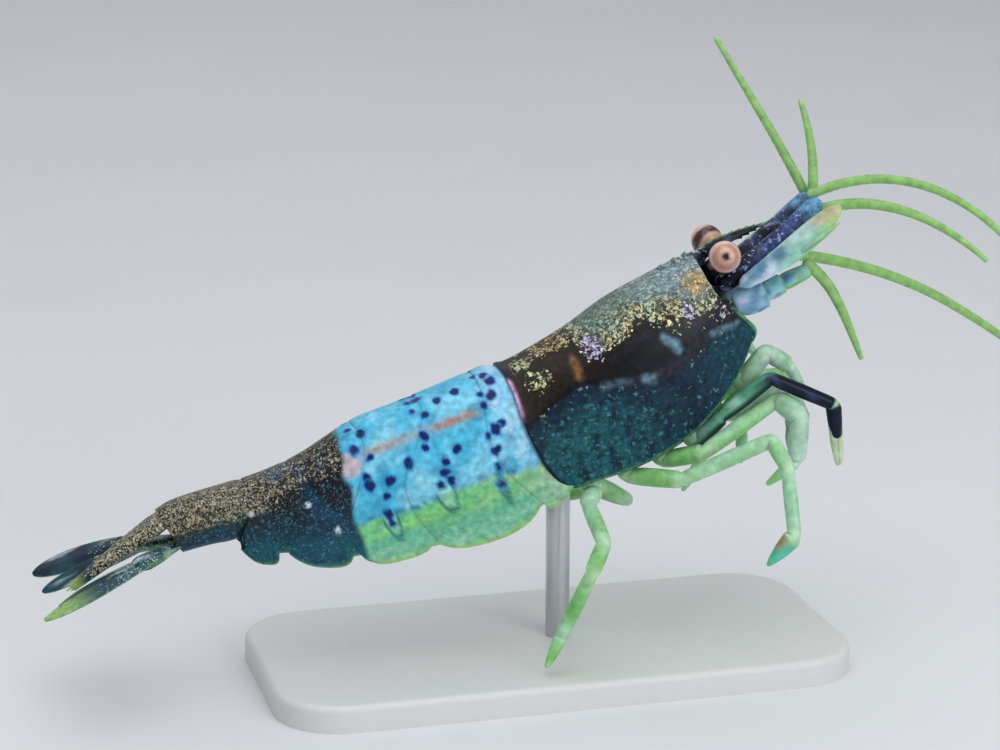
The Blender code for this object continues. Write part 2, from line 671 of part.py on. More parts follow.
def make_pleopods(pose):
    """Swimming legs: a short stem and two leaves, each pair at its own phase of the stroke."""
    for i in range(5):
        front_x = SEAMS[i](0.9) - GAP
        rear_x = SEAMS[i + 1](0.9)
        x = (front_x + rear_x) / 2 + 0.15
        edge = lobed(SEAMS[i](1.0) - GAP, SEAMS[i + 1](1.0), LOBE_RISE[i])
        ceiling = trough_ceiling(x, edge, TUCK_ABDOMEN)
        depth = ceiling - GAP - EDGE(x) - 0.25
        room = HALF_WIDTH(x) * TUCK_ABDOMEN - SHELL_EDGE - 0.12
        swing = 0.15 - 0.09 * i
        for letter, side in (("L", 1), ("R", -1)):
            middle = room * 0.54
            root = Vector((x, side * middle, ceiling - GAP))
            knee = root + Vector((swing * 0.3, 0, -depth * 0.3))
            pieces = []
            for share, reach in ((0.25, 0.9), (-0.25, 1.0)):
                offset = Vector((0, side * share * room, 0))
                tip = root + offset + Vector((swing * reach, 0, -depth * reach))
                start = knee + offset * 0.6 + Vector((0, 0, 0.12))
                points = [start, start.lerp(tip, 0.35), start.lerp(tip, 0.75), tip]
                widths = [room * 0.2, room * 0.25, room * 0.22, room * 0.1]
                rings = [oval(p, (0, 1, 0), (1, 0, 0), w, 0.26, 8) for p, w in zip(points, widths)]
                rings = [list(reversed(ring)) for ring in rings]
                pieces.append(piece("leaf", skin(rings)))
            ends = ((root, room * 0.3), (knee, room * 0.36))
            stem = [oval(p, (0, 1, 0), (1, 0, 0), w, 0.28, 8) for p, w in ends]
            pieces.insert(0, piece("stem", skin(stem)))
            joined("pleopod_%d_%s" % (i + 1, letter), pieces, pose, "limb_shell")


# Tail fan

def make_tail(pose):
    """The telson and the two blades on each side; the fan rolls a little towards the right side."""
    stations = 9
    start, end = Vector((-14.05, 0, 1.12)), Vector((-17.6, 0, 0.52))
    path = straight_path(start, end, stations, Vector((0, 0, 0.04)))
    rings = []
    for i, point in enumerate(path):
        t = (point.x - start.x) / (end.x - start.x)
        half_width = 0.68 - 0.38 * t - (0.14 if i == stations - 1 else 0)
        half_height = 0.31 - 0.1 * t
        rings.append(oval(point, (0, 1, 0), (0, 0, 1), half_width, half_height, 12, 0.8))
    pieces = [piece("telson_plate", skin(rings))]
    for y in (-0.16, 0.0, 0.16):
        root, tip = Vector((-17.35, y * 0.8, 0.56)), Vector((-17.9 + abs(y), y * 1.5, 0.5))
        pieces.append(piece("tip_spine", skin(turned_rings([root, tip], [0.07, 0.025], 5))))
    for x in (-15.4, -16.2):
        for side in (1, -1):
            t = (x - start.x) / (end.x - start.x)
            root = Vector((x, side * (0.4 - 0.2 * t), 1.26 - 0.6 * t))
            tip = root + Vector((-0.3, 0, 0.13))
            pieces.append(piece("back_spine", skin(turned_rings([root, tip], [0.08, 0.03], 5))))
    joined("telson", pieces, pose, "dark_shell")
    for letter, side in (("L", 1), ("R", -1)):
        stem = [oval(Vector((x, side * y, z)), (0, 1, 0), (0, 0, 1), w, h, 8, 0.8) for x, y, z, w, h in (
            (-13.98, 0.45, 0.16, 0.3, 0.26), (-14.4, 0.72, 0.26, 0.46, 0.3), (-14.76, 1.0, 0.36, 0.6, 0.26))]
        node("tail_stem_" + letter, skin(stem), pose, "dark_shell")
        near = side < 0
        root = Vector((-15.06, side * 0.8, 0.34 if near else 0.36))
        tip = Vector((-18.3, side * 1.1, 0.5)) if near else Vector((-18.7, side * 1.2, 0.5))
        inner = straight_path(root, tip, 9, Vector((0, 0, 0.06)))
        across = Vector((0, side, -0.1 if near else 0.3))
        bm = blade(inner, leaf_widths(9, 0.22, 0.44, 0.1), 0.17, across)
        node("tail_inner_" + letter, bm, pose, "dark_shell")
        root = Vector((-15.06, side * 1.3, 0.42))
        tip = Vector((-18.9, side * 1.95, 0.8)) if near else Vector((-18.75, side * 2.3, 0.9))
        outer = straight_path(root, tip, 9, Vector((0, side * 0.14, 0.03)))
        across = Vector((0, side, -0.3 if near else 0.36))
        bm = blade(outer, leaf_widths(9, 0.24, 0.57, 0.12), 0.2, across)
        node("tail_outer_" + letter, bm, pose, "dark_shell")


# Stand

def make_stand(pose):
    bm = bmesh.new()
    bmesh.ops.create_cube(bm, size=1)
    bmesh.ops.scale(bm, vec=(BASE_LENGTH, BASE_WIDTH, BASE_THICK), verts=bm.verts)
    bmesh.ops.translate(bm, vec=(0, 0, BASE_THICK / 2), verts=bm.verts)
    upright = [e for e in bm.edges if abs(e.verts[0].co.z - e.verts[1].co.z) > BASE_THICK / 2]
    bmesh.ops.bevel(bm, geom=upright, offset=2.5, segments=6, affect="EDGES", profile=0.5)
    rim = [e for e in bm.edges if all(v.co.z > BASE_THICK - 0.01 for v in e.verts)]
    bmesh.ops.bevel(bm, geom=rim, offset=0.25, segments=1, affect="EDGES", profile=0.5)
    node("stand_base", bm, None, "stand_plate")

    bpy.context.view_layer.update()
    to_world = pose.matrix_world
    foot = to_world @ (Vector((ROD_BODY_X, 0, STERNUM(ROD_BODY_X))) * MM) / MM
    step = 0.3
    ahead = to_world @ (Vector((ROD_BODY_X + step, 0, STERNUM(ROD_BODY_X + step))) * MM) / MM
    slope = (ahead.z - foot.z) / (ahead.x - foot.x)
    clear = GAP * sqrt(1 + slope * slope)
    bm = bmesh.new()
    bmesh.ops.create_cone(bm, cap_ends=True, segments=16, radius1=ROD_RADIUS, radius2=ROD_RADIUS, depth=1)
    for vert in bm.verts:
        if vert.co.z > 0:
            vert.co.z = foot.z - clear + slope * vert.co.x
        else:
            vert.co.z = BASE_THICK + GAP
        vert.co.x += foot.x
        vert.co.y += foot.y
    node("stand_rod", bm, None, "stand_steel")


def main():
    clear_scene()
    for name in MATERIALS:
        make_material(name)
    pose = bpy.data.objects.new("pose", None)
    bpy.context.scene.collection.objects.link(pose)
    pose.location = (BACK_AHEAD_OF_STAND * MM, 0, BACK_HEIGHT * MM)
    pose.rotation_euler = (0, radians(-NOSE_UP_DEGREES), 0)
    make_carapace(pose)
    make_rostrum(pose)
    make_abdomen(pose)
    make_underside(pose)
    for letter, side in (("L", 1), ("R", -1)):
        make_eye("eye_" + letter, side, pose)
        make_antennule_base("antennule_base_" + letter, side, pose)
        make_antenna_base("antenna_base_" + letter, side, pose)
        make_antennal_scale("antennal_scale_" + letter, side, pose)
    for name in FEELERS:
        make_feeler(name, pose)
    make_legs(pose)
    make_pleopods(pose)
    make_tail(pose)
    make_stand(pose)


main()
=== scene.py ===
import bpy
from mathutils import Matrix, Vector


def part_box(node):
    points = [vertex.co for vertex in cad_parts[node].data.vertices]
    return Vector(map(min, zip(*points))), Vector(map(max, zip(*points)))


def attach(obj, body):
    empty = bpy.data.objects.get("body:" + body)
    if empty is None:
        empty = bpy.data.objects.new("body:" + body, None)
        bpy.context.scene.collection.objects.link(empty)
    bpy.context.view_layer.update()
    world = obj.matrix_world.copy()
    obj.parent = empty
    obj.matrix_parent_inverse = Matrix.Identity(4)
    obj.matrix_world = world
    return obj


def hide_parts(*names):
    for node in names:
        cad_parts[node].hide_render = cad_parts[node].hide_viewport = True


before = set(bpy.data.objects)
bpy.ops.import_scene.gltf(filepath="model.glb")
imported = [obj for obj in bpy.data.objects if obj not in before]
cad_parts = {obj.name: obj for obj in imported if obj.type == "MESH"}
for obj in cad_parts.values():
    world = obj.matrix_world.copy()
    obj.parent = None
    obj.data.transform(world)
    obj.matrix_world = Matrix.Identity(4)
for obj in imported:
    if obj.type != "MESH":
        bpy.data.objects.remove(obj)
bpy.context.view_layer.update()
# %% Tools
from math import acos, cos, pi, radians, sin, sqrt

import bmesh
import bpy
import numpy as np
from mathutils import Matrix, Vector

print("tools ready, with Blender", bpy.app.version_string)

# %% [markdown]
# ## Where things are
# The shrimp hangs nose up over its stand. It is far easier to shape it lying level, with its length on x
# and millimetres for units, and to tip the finished mesh afterwards. One matrix holds that last move, so
# each object can stay at the origin with its place in its mesh.
# %% From level millimetres to the stand
MM = 0.001
NOSE_UP = 26
OVER_STAND = Matrix.Translation((-1.6 * MM, 0, 11.8 * MM))
POSE = OVER_STAND @ Matrix.Rotation(radians(-NOSE_UP), 4, "Y") @ Matrix.Scale(MM, 4)
print("the top of the back lies at", POSE @ Vector((0, 0, 0)))

# %% [markdown]
# ## Camera and light
# The camera looks at the right side of the shrimp, from a little behind and a little above, with a long
# lens. Big soft lamps overhead, in front and behind act like a diffuser box, the usual way to light wet,
# glossy things, because a large lamp leaves broad soft highlights.
# %% Camera
def put_in_scene(name, data):
    thing = bpy.data.objects.new(name, data)
    bpy.context.scene.collection.objects.link(thing)
    return thing


def look_at(thing, spot):
    thing.rotation_euler = (Vector(spot) - thing.location).to_track_quat("-Z", "Y").to_euler()


DISTANCE = 102
aim = Vector((-1.79, 0, 11.32)) * MM
turn, lift = radians(-15), radians(15)
to_camera = Vector((sin(turn) * cos(lift), -cos(turn) * cos(lift), sin(lift)))
camera = put_in_scene("camera", bpy.data.cameras.new("camera"))
camera.location = aim + to_camera * DISTANCE * MM
look_at(camera, aim)
camera.data.lens, camera.data.sensor_width = 100, 36
camera.data.clip_start, camera.data.clip_end = 0.005, 20
bpy.context.scene.camera = camera
print("camera at", camera.location)
# %% Lamps and floor
def lamp(name, place, size, power):
    disk = bpy.data.lights.new(name, "AREA")
    disk.shape, disk.size, disk.energy = "DISK", size * MM, power
    thing = put_in_scene(name, disk)
    thing.location = Vector(place) * MM
    look_at(thing, aim)


def mesh_of(name, bm):
    mesh = bpy.data.meshes.new(name)
    bm.to_mesh(mesh)
    bm.free()
    return mesh


lamp("overhead", (-20, -50, 130), 160, 0.09)
lamp("front", (60, -120, 62), 90, 0.07)
lamp("behind", (0, 140, 240), 300, 0.2)
world = bpy.data.worlds.new("room")
world.use_nodes = True
sky = world.node_tree.nodes["Background"].inputs
sky["Color"].default_value, sky["Strength"].default_value = (0.9, 0.94, 1, 1), 0.42
bpy.context.scene.world = world
bpy.context.scene.view_settings.view_transform = "Standard"
bm = bmesh.new()
bmesh.ops.create_grid(bm, x_segments=1, y_segments=1, size=3)
floor = put_in_scene("floor", mesh_of("floor", bm))
print("three lamps and a floor of", floor.dimensions.x, "m")

# %% [markdown]
# ## Shader maths
# A pattern is a sum of small sums: a noise times a strength, one minus a mask. Wired by hand that takes
# dozens of nodes. Here a small class wraps a node's socket, so an ordinary expression adds the nodes.
# %% Sockets that add up
class Wire:
    """One number that varies over the surface. Sums on it add Math nodes."""

    def __init__(self, kit, socket):
        self.kit, self.socket = kit, socket

    def sum(self, operation, first, second, clamp=False):
        settings = {"operation": operation, "use_clamp": clamp}
        return self.kit.wire("ShaderNodeMath", settings, {0: first, 1: second}, "Value")

    def __add__(self, other):
        return self.sum("ADD", self, other)

    def __mul__(self, other):
        return self.sum("MULTIPLY", self, other)

    def __sub__(self, other):
        return self.sum("SUBTRACT", self, other)

    def __rsub__(self, other):
        return self.sum("SUBTRACT", other, self)

    def __lt__(self, other):
        return self.sum("LESS_THAN", self, other)

    def clamped(self):
        return self.sum("ADD", self, 0.0, clamp=True)

    def other(self, output):
        """Another output of the node that this one comes from."""
        return Wire(self.kit, self.kit.socket(self.socket.node.outputs, output))

    __radd__, __rmul__ = __add__, __mul__


print("a wire adds, subtracts, multiplies and compares")
# %% Nodes from one method
class Finish:
    """A material in the making."""

    def __init__(self, name):
        self.material = bpy.data.materials.new(name)
        self.material.use_nodes = True
        self.tree = self.material.node_tree
        self.shader = self.tree.nodes["Principled BSDF"]

    def wire(self, kind, settings, inputs, output):
        """Adds a node, sets it up, links or fills its sockets and gives one of its outputs."""
        node = self.tree.nodes.new(kind)
        for key, value in settings.items():
            setattr(node, key, value)
        for key, value in inputs.items():
            self.fill(self.socket(node.inputs, key), value)
        return Wire(self, self.socket(node.outputs, output))

    def socket(self, sockets, key):
        if isinstance(key, int):
            return sockets[key]
        return next(s for s in sockets if s.name == key and s.enabled)

    def fill(self, socket, value):
        if isinstance(value, Wire):
            self.tree.links.new(value.socket, socket)
        else:
            socket.default_value = value

    def set(self, **values):
        """Fills the shader's own sockets; base_color stands for Base Color."""
        for key, value in values.items():
            words = key.replace("_", " ").title().replace("Ior", "IOR")
            self.fill(self.shader.inputs[words], value)
        return self.material

    def millimetres(self):
        place = self.wire("ShaderNodeTexCoord", {}, {}, "Object")
        return self.wire("ShaderNodeMapping", {}, {"Vector": place, "Scale": (1000, 1000, 1000)}, "Vector")

    def painted(self, layer):
        """The colour painted on the points under this name; its other output, Alpha, is an amount."""
        return self.wire("ShaderNodeAttribute", {"attribute_name": layer}, {}, "Color")

    def noise(self, place, scale, detail=3.0, output="Fac"):
        inputs = {"Vector": place, "Scale": scale, "Detail": detail}
        return self.wire("ShaderNodeTexNoise", {}, inputs, output)

    def scaled(self, colour, by):
        inputs = {"Vector": colour, "Scale": by}
        return self.wire("ShaderNodeVectorMath", {"operation": "SCALE"}, inputs, "Vector")

    def added(self, first, second):
        return self.wire("ShaderNodeVectorMath", {"operation": "ADD"}, {0: first, 1: second}, "Vector")

    def tinted(self, colour, tint):
        inputs = {"Factor": 1.0, "A": colour, "B": tint}
        settings = {"data_type": "RGBA", "blend_type": "MULTIPLY"}
        return self.wire("ShaderNodeMix", settings, inputs, "Result")

    def grains(self, place, size, density):
        """Grains, this many to the millimetre: where they lie, and two random numbers for each."""
        away = self.wire("ShaderNodeTexVoronoi", {}, {"Vector": place, "Scale": size}, "Distance")
        lot = self.wire("ShaderNodeSeparateColor", {}, {"Color": away.other("Color")}, "Red")
        return (lot < density) * ((0.6 - away) * 5).clamped(), lot.other("Green"), lot.other("Blue")

    def mixed(self, factor, first, second):
        inputs = {"Factor": factor, "A": first, "B": second}
        return self.wire("ShaderNodeMix", {"data_type": "RGBA"}, inputs, "Result")

    def bump(self, height, distance):
        return self.wire("ShaderNodeBump", {}, {"Height": height, "Distance": distance}, "Normal")


print("shader helpers ready")

# %% [markdown]
# ## A living surface
# The shell is clear; its colour comes from pigment cells beneath it, which look like fine grains. Most
# pieces carry two painted layers at their points: a ground colour, and the colour and density of the
# grains; the breast, eyes, antenna bases and scales, feelers, legs and paddles carry only the ground
# colour. The shader adds what is too small to paint: mottling, the grains themselves and a wet gloss.
# The grains come in two sizes, 7 and 12 to the millimetre, each with its share of the painted density.
# %% Materials of the animal
GRAINS = ((7.0, 0.5), (12.0, 0.85))


def living(name, mottle, mottle_scale, gloss, relief, grainy=True, depth=0.0, coat=0.06, fine=1.4):
    kit = Finish(name)
    place = kit.millimetres()
    ground = kit.painted("ground")
    cloud = kit.noise(place, mottle_scale, 4.0)
    shade = (cloud - 0.5) * (2 * mottle) + 1
    colour = kit.scaled(ground, shade.sum("MAXIMUM", shade, 0.2))
    height = cloud * 0.6
    if grainy:
        fleck = kit.painted("fleck")
        moved = kit.added(place, kit.scaled(kit.noise(place, 8.0, 1.0, "Color"), 0.24))
        for size, share in GRAINS:
            here, glow, hue = kit.grains(moved, size * fine, fleck.other("Alpha") * share)
            tint = kit.mixed(hue, (1.1, 0.96, 0.76, 1), (0.8, 0.98, 1.1, 1))
            grain = kit.scaled(kit.tinted(fleck, tint), glow * 0.95 + 0.25)
            colour = kit.mixed(here, colour, grain)
            height = height + here * 0.4
    material = kit.set(
        base_color=colour,
        roughness=cloud * 0.2 + gloss,
        coat_weight=coat,
        coat_roughness=0.15,
        specular_ior_level=0.17,
        alpha=ground.other("Alpha"),
        normal=kit.bump(height, relief),
    )
    if depth:
        kit.set(subsurface_weight=depth, subsurface_scale=0.0006, subsurface_radius=(0.8, 1.0, 0.9))
    return material


DARK = living("dark_shell_paint", 1.5, 5.0, 0.28, 5e-6, fine=0.85)
CLEAR = living("clear_shell_paint", 0.65, 4.0, 0.22, 3e-6, depth=0.25)
LIMB = living("limb_paint", 0.5, 3.0, 0.28, 4e-6, grainy=False, depth=0.35)
EYE = living("eye_paint", 0.3, 7.0, 0.08, 1e-6, grainy=False, coat=1.0)
FAN = living("tail_fan_paint", 1.0, 4.0, 0.25, 4e-6, depth=0.1)
print("materials of the animal:", [m.name for m in (DARK, CLEAR, LIMB, EYE, FAN)])
# %% [markdown]
# ## Painting by place
# A colour is laid over another through a mask, a number from 0 to 1 at each point. Most masks are soft
# steps along the body, round spots or smooth random waves, so a pattern can be measured on the photo
# and written down as places. P holds the points, N the way each one faces, and U and V where it lies on
# the sheet that it was rolled from.
# %% Painting helpers
def srgb(levels):
    """A colour as seen on a screen, 0 to 255, as light."""
    return np.array([((c / 255 + 0.055) / 1.055) ** 2.4 for c in levels])


def light(colour):
    """The light of a coat, of screen levels, or of what is light already."""
    if isinstance(colour, Coat):
        return colour.light
    return srgb(colour) if isinstance(colour, tuple) else colour


class Coat:
    """The colours of a piece's points, and an amount for each: how solid it is, or how many grains."""

    def __init__(self, P, colour, amount=1.0):
        self.light = np.zeros((len(P), 3)) + light(colour)
        self.amount = amount

    def over(self, colour, mask):
        """Lays a colour over the others, as far as the mask says."""
        mask = np.clip(np.asarray(mask, float), 0, 1)[:, None]
        self.light = self.light * (1 - mask) + light(colour) * mask
        return self


def soft(x, a, b):
    """A soft step, 0 at a and 1 at b; a may be the larger."""
    t = np.clip((x - a) / (b - a), 0, 1)
    return t * t * (3 - 2 * t)


def far(P, centre, stretch=(1, 1, 1)):
    """How far each point is from a place on its own side of the body."""
    mirrored = np.column_stack([P[:, 0], np.abs(P[:, 1]), P[:, 2]])
    return np.linalg.norm((mirrored - np.array(centre)) / np.array(stretch), axis=1)


def spot(P, centre, size, stretch=(1, 1, 1)):
    """1 inside a spot on either side of the body, fading to 0 at its edge."""
    return soft(far(P, centre, stretch), size, size * 0.5)


def stroke(P, start, end, width):
    """1 along a straight brush stroke between two places of x and z, fading at its width."""
    flat, start, along = P[:, [0, 2]], np.array(start), np.subtract(end, start)
    share = np.clip((flat - start) @ along / (along @ along), 0, 1)
    away = np.linalg.norm(flat - start - share[:, None] * along, axis=1)
    return soft(away + 0.35 * width * wobble(P, 9.0, 7), 1.15 * width, 0)


def ramp(t, *stops):
    """Colours along t, from stops of place and colour."""
    places = [place for place, _ in stops]
    return np.column_stack([np.interp(t, places, [light(c)[i] for _, c in stops]) for i in range(3)])


def wobble(P, scale, seed):
    """A smooth random wave from -1 to 1."""
    rng = np.random.default_rng(seed)
    ways, starts = rng.normal(size=(3, 6)) * scale, rng.uniform(0, 6, 6)
    return np.sin(P @ ways + starts).mean(axis=1) * 1.6


def cloud(P, scale, seed, a, b):
    """Soft clouds: 0 where the wave lies below a, 1 where it is above b."""
    return soft(wobble(P, scale, seed), a, b)


GOLD, SILVER, MILK, LEAF = (212, 188, 126), (180, 200, 206), (192, 218, 190), (130, 190, 116)
print("colours mixed")

# %% [markdown]
# ## Moulding sheets
# Nearly everything on a shrimp is a tube or a plate with a curved section. Both start here as a flat
# sheet of small faces, made by one operator, and a formula rolls the sheet into shape, as a baker rolls
# dough. Its edges are welded where they meet, and what stays open is filled.
# %% A piece in place of its solids
def dress(mesh, sharp, material, slot, *nodes):
    """Makes the object of a finished mesh, hangs it on the root body and hides the solids it stands for."""
    mesh.shade_smooth()
    mesh.set_sharp_from_angle(angle=radians(sharp))
    mesh.materials.append(material)
    thing = put_in_scene(mesh.name, mesh)
    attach(thing, "root")
    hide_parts(*nodes)
    print(mesh.name, len(mesh.polygons), "faces")


# %% A piece in the making
LAYERS = ("U", "V", "part")


class Clay:
    """A bmesh in the shrimp's level millimetres. Each point keeps its LAYERS, for the paint."""

    def __init__(self):
        self.bm = bmesh.new()
        self.uv = self.bm.loops.layers.uv.new("UVMap")
        self.keys = [self.bm.verts.layers.float.new(name) for name in LAYERS]

    def sheet(self, along, across, place, part=0.0):
        """Rolls a sheet of along by across faces; place(u, v) gives each point."""
        grid = bmesh.ops.create_grid(self.bm, x_segments=along, y_segments=across, size=0.5)["verts"]
        for face in {f for vert in grid for f in vert.link_faces}:
            for loop in face.loops:
                loop[self.uv].uv = (loop.vert.co.x + 0.5, loop.vert.co.y + 0.5)
        for vert in grid:
            u, v = vert.co.x + 0.5, vert.co.y + 0.5
            kept = part(u, v) if callable(part) else part
            for key, value in zip(self.keys, (u, v, kept)):
                vert[key] = value
            vert.co = place(u, v)
        bmesh.ops.remove_doubles(self.bm, verts=grid, dist=2e-4)

    def tube(self, points, sizes, sides=16, flat=1.0, across=None, part=0.0, bulge=None):
        """A bar along a path, of these half widths; flat thins it square to across."""
        count = len(points)
        rings, right = [], Vector(across) if across else (points[1] - points[0]).orthogonal()
        for i, point in enumerate(points):
            ahead, behind = points[min(i + 1, count - 1)], points[max(i - 1, 0)]
            tangent = (ahead - behind).normalized()
            right = (right - tangent * right.dot(tangent)).normalized()
            rings.append((point, right.copy(), tangent.cross(right)))

        def place(u, v):
            i = round(u * (count - 1))
            point, right, up = rings[i]
            angle = 2 * pi * v
            size = sizes[i] * (bulge(angle) if bulge else 1)
            return point + (right * cos(angle) + up * sin(angle) * flat) * size

        self.sheet(count - 1, sides, place, part)

    def bar(self, points, sizes, sides=12, **more):
        """A tube with rounded ends."""
        self.tube(*rounded(points, sizes), sides, **more)

    def finish(self, node, slot, material, paint, *more_nodes):
        """Closes the mesh, paints its points, tips it into place and dresses its solids with it."""
        open_edges = [edge for edge in self.bm.edges if edge.is_boundary]
        if open_edges:
            bmesh.ops.holes_fill(self.bm, edges=open_edges, sides=0)
        bmesh.ops.recalc_face_normals(self.bm, faces=self.bm.faces)
        mesh = mesh_of(node + "_fine", self.bm)
        count = len(mesh.vertices)
        points = np.empty(count * 3)
        mesh.vertices.foreach_get("co", points)
        kept = {}
        for key in LAYERS:
            kept[key] = np.empty(count)
            mesh.attributes[key].data.foreach_get("value", kept[key])
            mesh.attributes.remove(mesh.attributes[key])
        facing = np.empty(count * 3)
        mesh.vertex_normals.foreach_get("vector", facing)
        coats = paint(P=points.reshape(-1, 3), N=facing.reshape(-1, 3), **kept)
        for layer, coat in zip(("ground", "fleck"), coats):
            colours = np.column_stack([coat.light, np.zeros(count) + coat.amount])
            made = mesh.color_attributes.new(layer, "FLOAT_COLOR", "POINT")
            made.data.foreach_set("color", colours.astype(np.float32).ravel())
        mesh.transform(POSE)
        dress(mesh, 50, material, slot, node, *more_nodes)


print("a piece keeps", LAYERS, "at each point")
# %% Paths for tubes
DOME, DOME_HEIGHT = (0, 0.5, 1.0), 0.7


def dome(point, size, outward):
    """Stations at the DOME angles for a small dome on the end of a tube, from its tip inwards."""
    path = [point + outward * size * DOME_HEIGHT * cos(a) for a in DOME]
    return path, [size * sin(a) for a in DOME]


def rounded(points, sizes):
    """Adds a small dome to both ends of a tube, so that it closes."""
    first, last = (points[0] - points[1]).normalized(), (points[-1] - points[-2]).normalized()
    tip, tip_sizes = dome(points[0], sizes[0], first)
    end, end_sizes = dome(points[-1], sizes[-1], last)
    return tip + list(points) + end[::-1], tip_sizes + list(sizes) + end_sizes[::-1]


def finer(points, sizes):
    """Doubles the stations of a path, along a smooth curve through the old ones."""
    new_points, new_sizes = [], []
    count = len(points)
    for i in range(count - 1):
        p0, p1, p2, p3 = (points[min(max(k, 0), count - 1)] for k in (i - 1, i, i + 1, i + 2))
        for t in (0.0, 0.5):
            new_points.append(
                0.5 * (2 * p1 + (p2 - p0) * t + (2 * p0 - 5 * p1 + 4 * p2 - p3) * t * t
                       + (3 * p1 - p0 - 3 * p2 + p3) * t ** 3)
            )
            new_sizes.append(sizes[i] + (sizes[i + 1] - sizes[i]) * t)
    return new_points + [points[-1]], new_sizes + [sizes[-1]]


def on_side(side, *places):
    """Places on the left half of the body, taken to this side."""
    return [Vector((x, side * y, z)) for x, y, z in places]


SIDES = (("L", 1), ("R", -1))
print("clay ready for the sides", SIDES)

# %% [markdown]
# ## The shell of the body
# Smooth lines give the height of the back, the lower edge of the shell and the half width at each
# place along the body; they are the same lines that shaped the solids. A seam line tells how far
# forward a rear rim lies, from the back, at 0, down to the lower edge, at 1.
# %% Lines of the body
def smooth_line(*points):
    """A smooth line through (x, value) points that run upwards in x."""
    slopes = []
    for i in range(len(points)):
        before, after = points[max(i - 1, 0)], points[min(i + 1, len(points) - 1)]
        slopes.append((after[1] - before[1]) / (after[0] - before[0]))

    def value(x):
        if x <= points[0][0]:
            return points[0][1]
        if x >= points[-1][0]:
            return points[-1][1]
        i = max(k for k in range(len(points) - 1) if points[k][0] <= x)
        (x0, v0), (x1, v1) = points[i], points[i + 1]
        width = x1 - x0
        t = (x - x0) / width
        rise = slopes[i] * width * t * (1 - t) ** 2 - slopes[i + 1] * width * (1 - t) * t * t
        return v0 * (1 + 2 * t) * (1 - t) ** 2 + v1 * (3 - 2 * t) * t * t + rise

    return value


BACK = smooth_line(
    (-13.9, 1.5), (-13.2, 1.56), (-12.1, 1.36), (-10.7, 1.0), (-9.5, 0.78), (-8.2, 0.69), (-7.0, 0.78),
    (-5.9, 0.86), (-4.4, 0.64), (-2.8, 0.45), (-1.3, 0.27), (-0.5, 0.16), (0.0, -0.04), (1.2, -0.08),
    (2.8, -0.02), (4.5, 0.2), (6.5, 0.2), (8.2, 0.17), (9.5, 0.12),
)
EDGE = smooth_line(
    (-12.0, -1.25), (-11.3, -1.95), (-10.4, -2.45), (-9.4, -3.15), (-8.4, -3.65), (-7.4, -4.12), (-6.0, -4.5),
    (-5.0, -4.92), (-4.0, -5.22), (-3.0, -5.42), (-1.6, -5.42), (0.1, -5.2), (0.7, -5.28), (1.5, -5.42),
    (2.6, -5.56), (4.0, -5.56), (5.0, -5.42), (6.0, -5.1), (6.8, -4.74), (7.4, -4.42), (7.9, -4.1),
    (8.4, -3.7),
)
HALF_WIDTH = smooth_line(
    (-13.9, 0.78), (-12.5, 0.88), (-11.0, 1.1), (-9.0, 1.4), (-7.0, 1.62), (-4.5, 1.78), (-2.0, 1.82),
    (-0.5, 1.78), (0.5, 1.84), (2.0, 2.06), (3.6, 2.2), (5.3, 2.15), (6.8, 1.95), (8.0, 1.6), (8.7, 1.3),
)
STERNUM = smooth_line(
    (-0.5, -4.98), (1.0, -5.05), (2.5, -5.25), (4.0, -5.33), (5.0, -5.2), (6.1, -4.85), (6.8, -4.5),
    (7.4, -4.1), (8.1, -3.5), (8.8, -2.95),
)
SEAMS = (
    smooth_line(
        (0, -0.3), (0.35, -0.4), (0.6, -0.62), (0.8, -0.64), (0.88, -0.52), (0.95, -0.26), (1.0, 0.1),
    ),
    smooth_line((0, -1.3), (0.3, -1.45), (0.6, -1.95), (0.8, -2.0), (1.0, -1.15)),
    smooth_line((0, -3.55), (0.25, -3.7), (0.45, -4.35), (0.65, -5.2), (0.85, -5.65), (1.0, -5.35)),
    smooth_line((0, -6.05), (0.3, -6.1), (0.5, -6.55), (0.7, -7.35), (0.9, -8.1), (1.0, -8.0)),
    smooth_line((0, -8.75), (0.45, -8.9), (0.7, -9.5), (0.9, -10.15), (1.0, -10.3)),
    smooth_line((0, -10.45), (0.4, -10.6), (0.6, -10.9), (0.8, -11.35), (1.0, -11.75)),
    smooth_line((0, -13.75), (1.0, -13.6)),
)
FRONT_EDGE = smooth_line(
    (0, 8.0), (0.3, 7.9), (0.5, 7.9), (0.62, 8.07), (0.76, 8.4), (0.84, 8.6), (0.9, 8.78), (0.95, 8.8),
    (1, 8.5),
)
LOBE_RISE = (0.04, 0.35, 0.3, 0.45, 0.5)


def flank(x, s, edge, tuck):
    """Half breadth and height of the shell at x, a share s of the way from the back to its lower edge."""
    back, low = BACK(x), edge(x)
    drop = acos(tuck ** 1.25)
    angle = pi / 2 - s * (pi / 2 + drop)
    middle = (back + low) / 2
    breadth = HALF_WIDTH(x) * max(cos(angle), 0) ** 0.8
    if angle > 0:
        return breadth, middle + (back - middle) * sin(angle)
    return breadth, middle + (middle - low) * sin(angle) / sin(drop)


def lobed(front_x, rear_x, rise):
    def edge(x):
        share = 2 * (x - rear_x) / (front_x - rear_x) - 1
        return EDGE(x) + rise * min(abs(share), 1) ** 4
    return edge


print("the carapace is", round(2 * HALF_WIDTH(3.6), 2), "mm wide")
# %% [markdown]
# ## Rolling the plates
# Each plate is rolled from one sheet: over the back, round a thin lower lip, and back along the inside.
# A plate's front slips under the rear rim of the plate before it, as roof tiles do, which is how the
# animal's tail bends in life.
# %% Rolling a plate
OUTSIDE = 0.74
HEM_LENGTH, HEM_DROP = 0.08, 0.03
SLOPE = 0.8
WALL, LOW_WALL = 0.12, 0.42


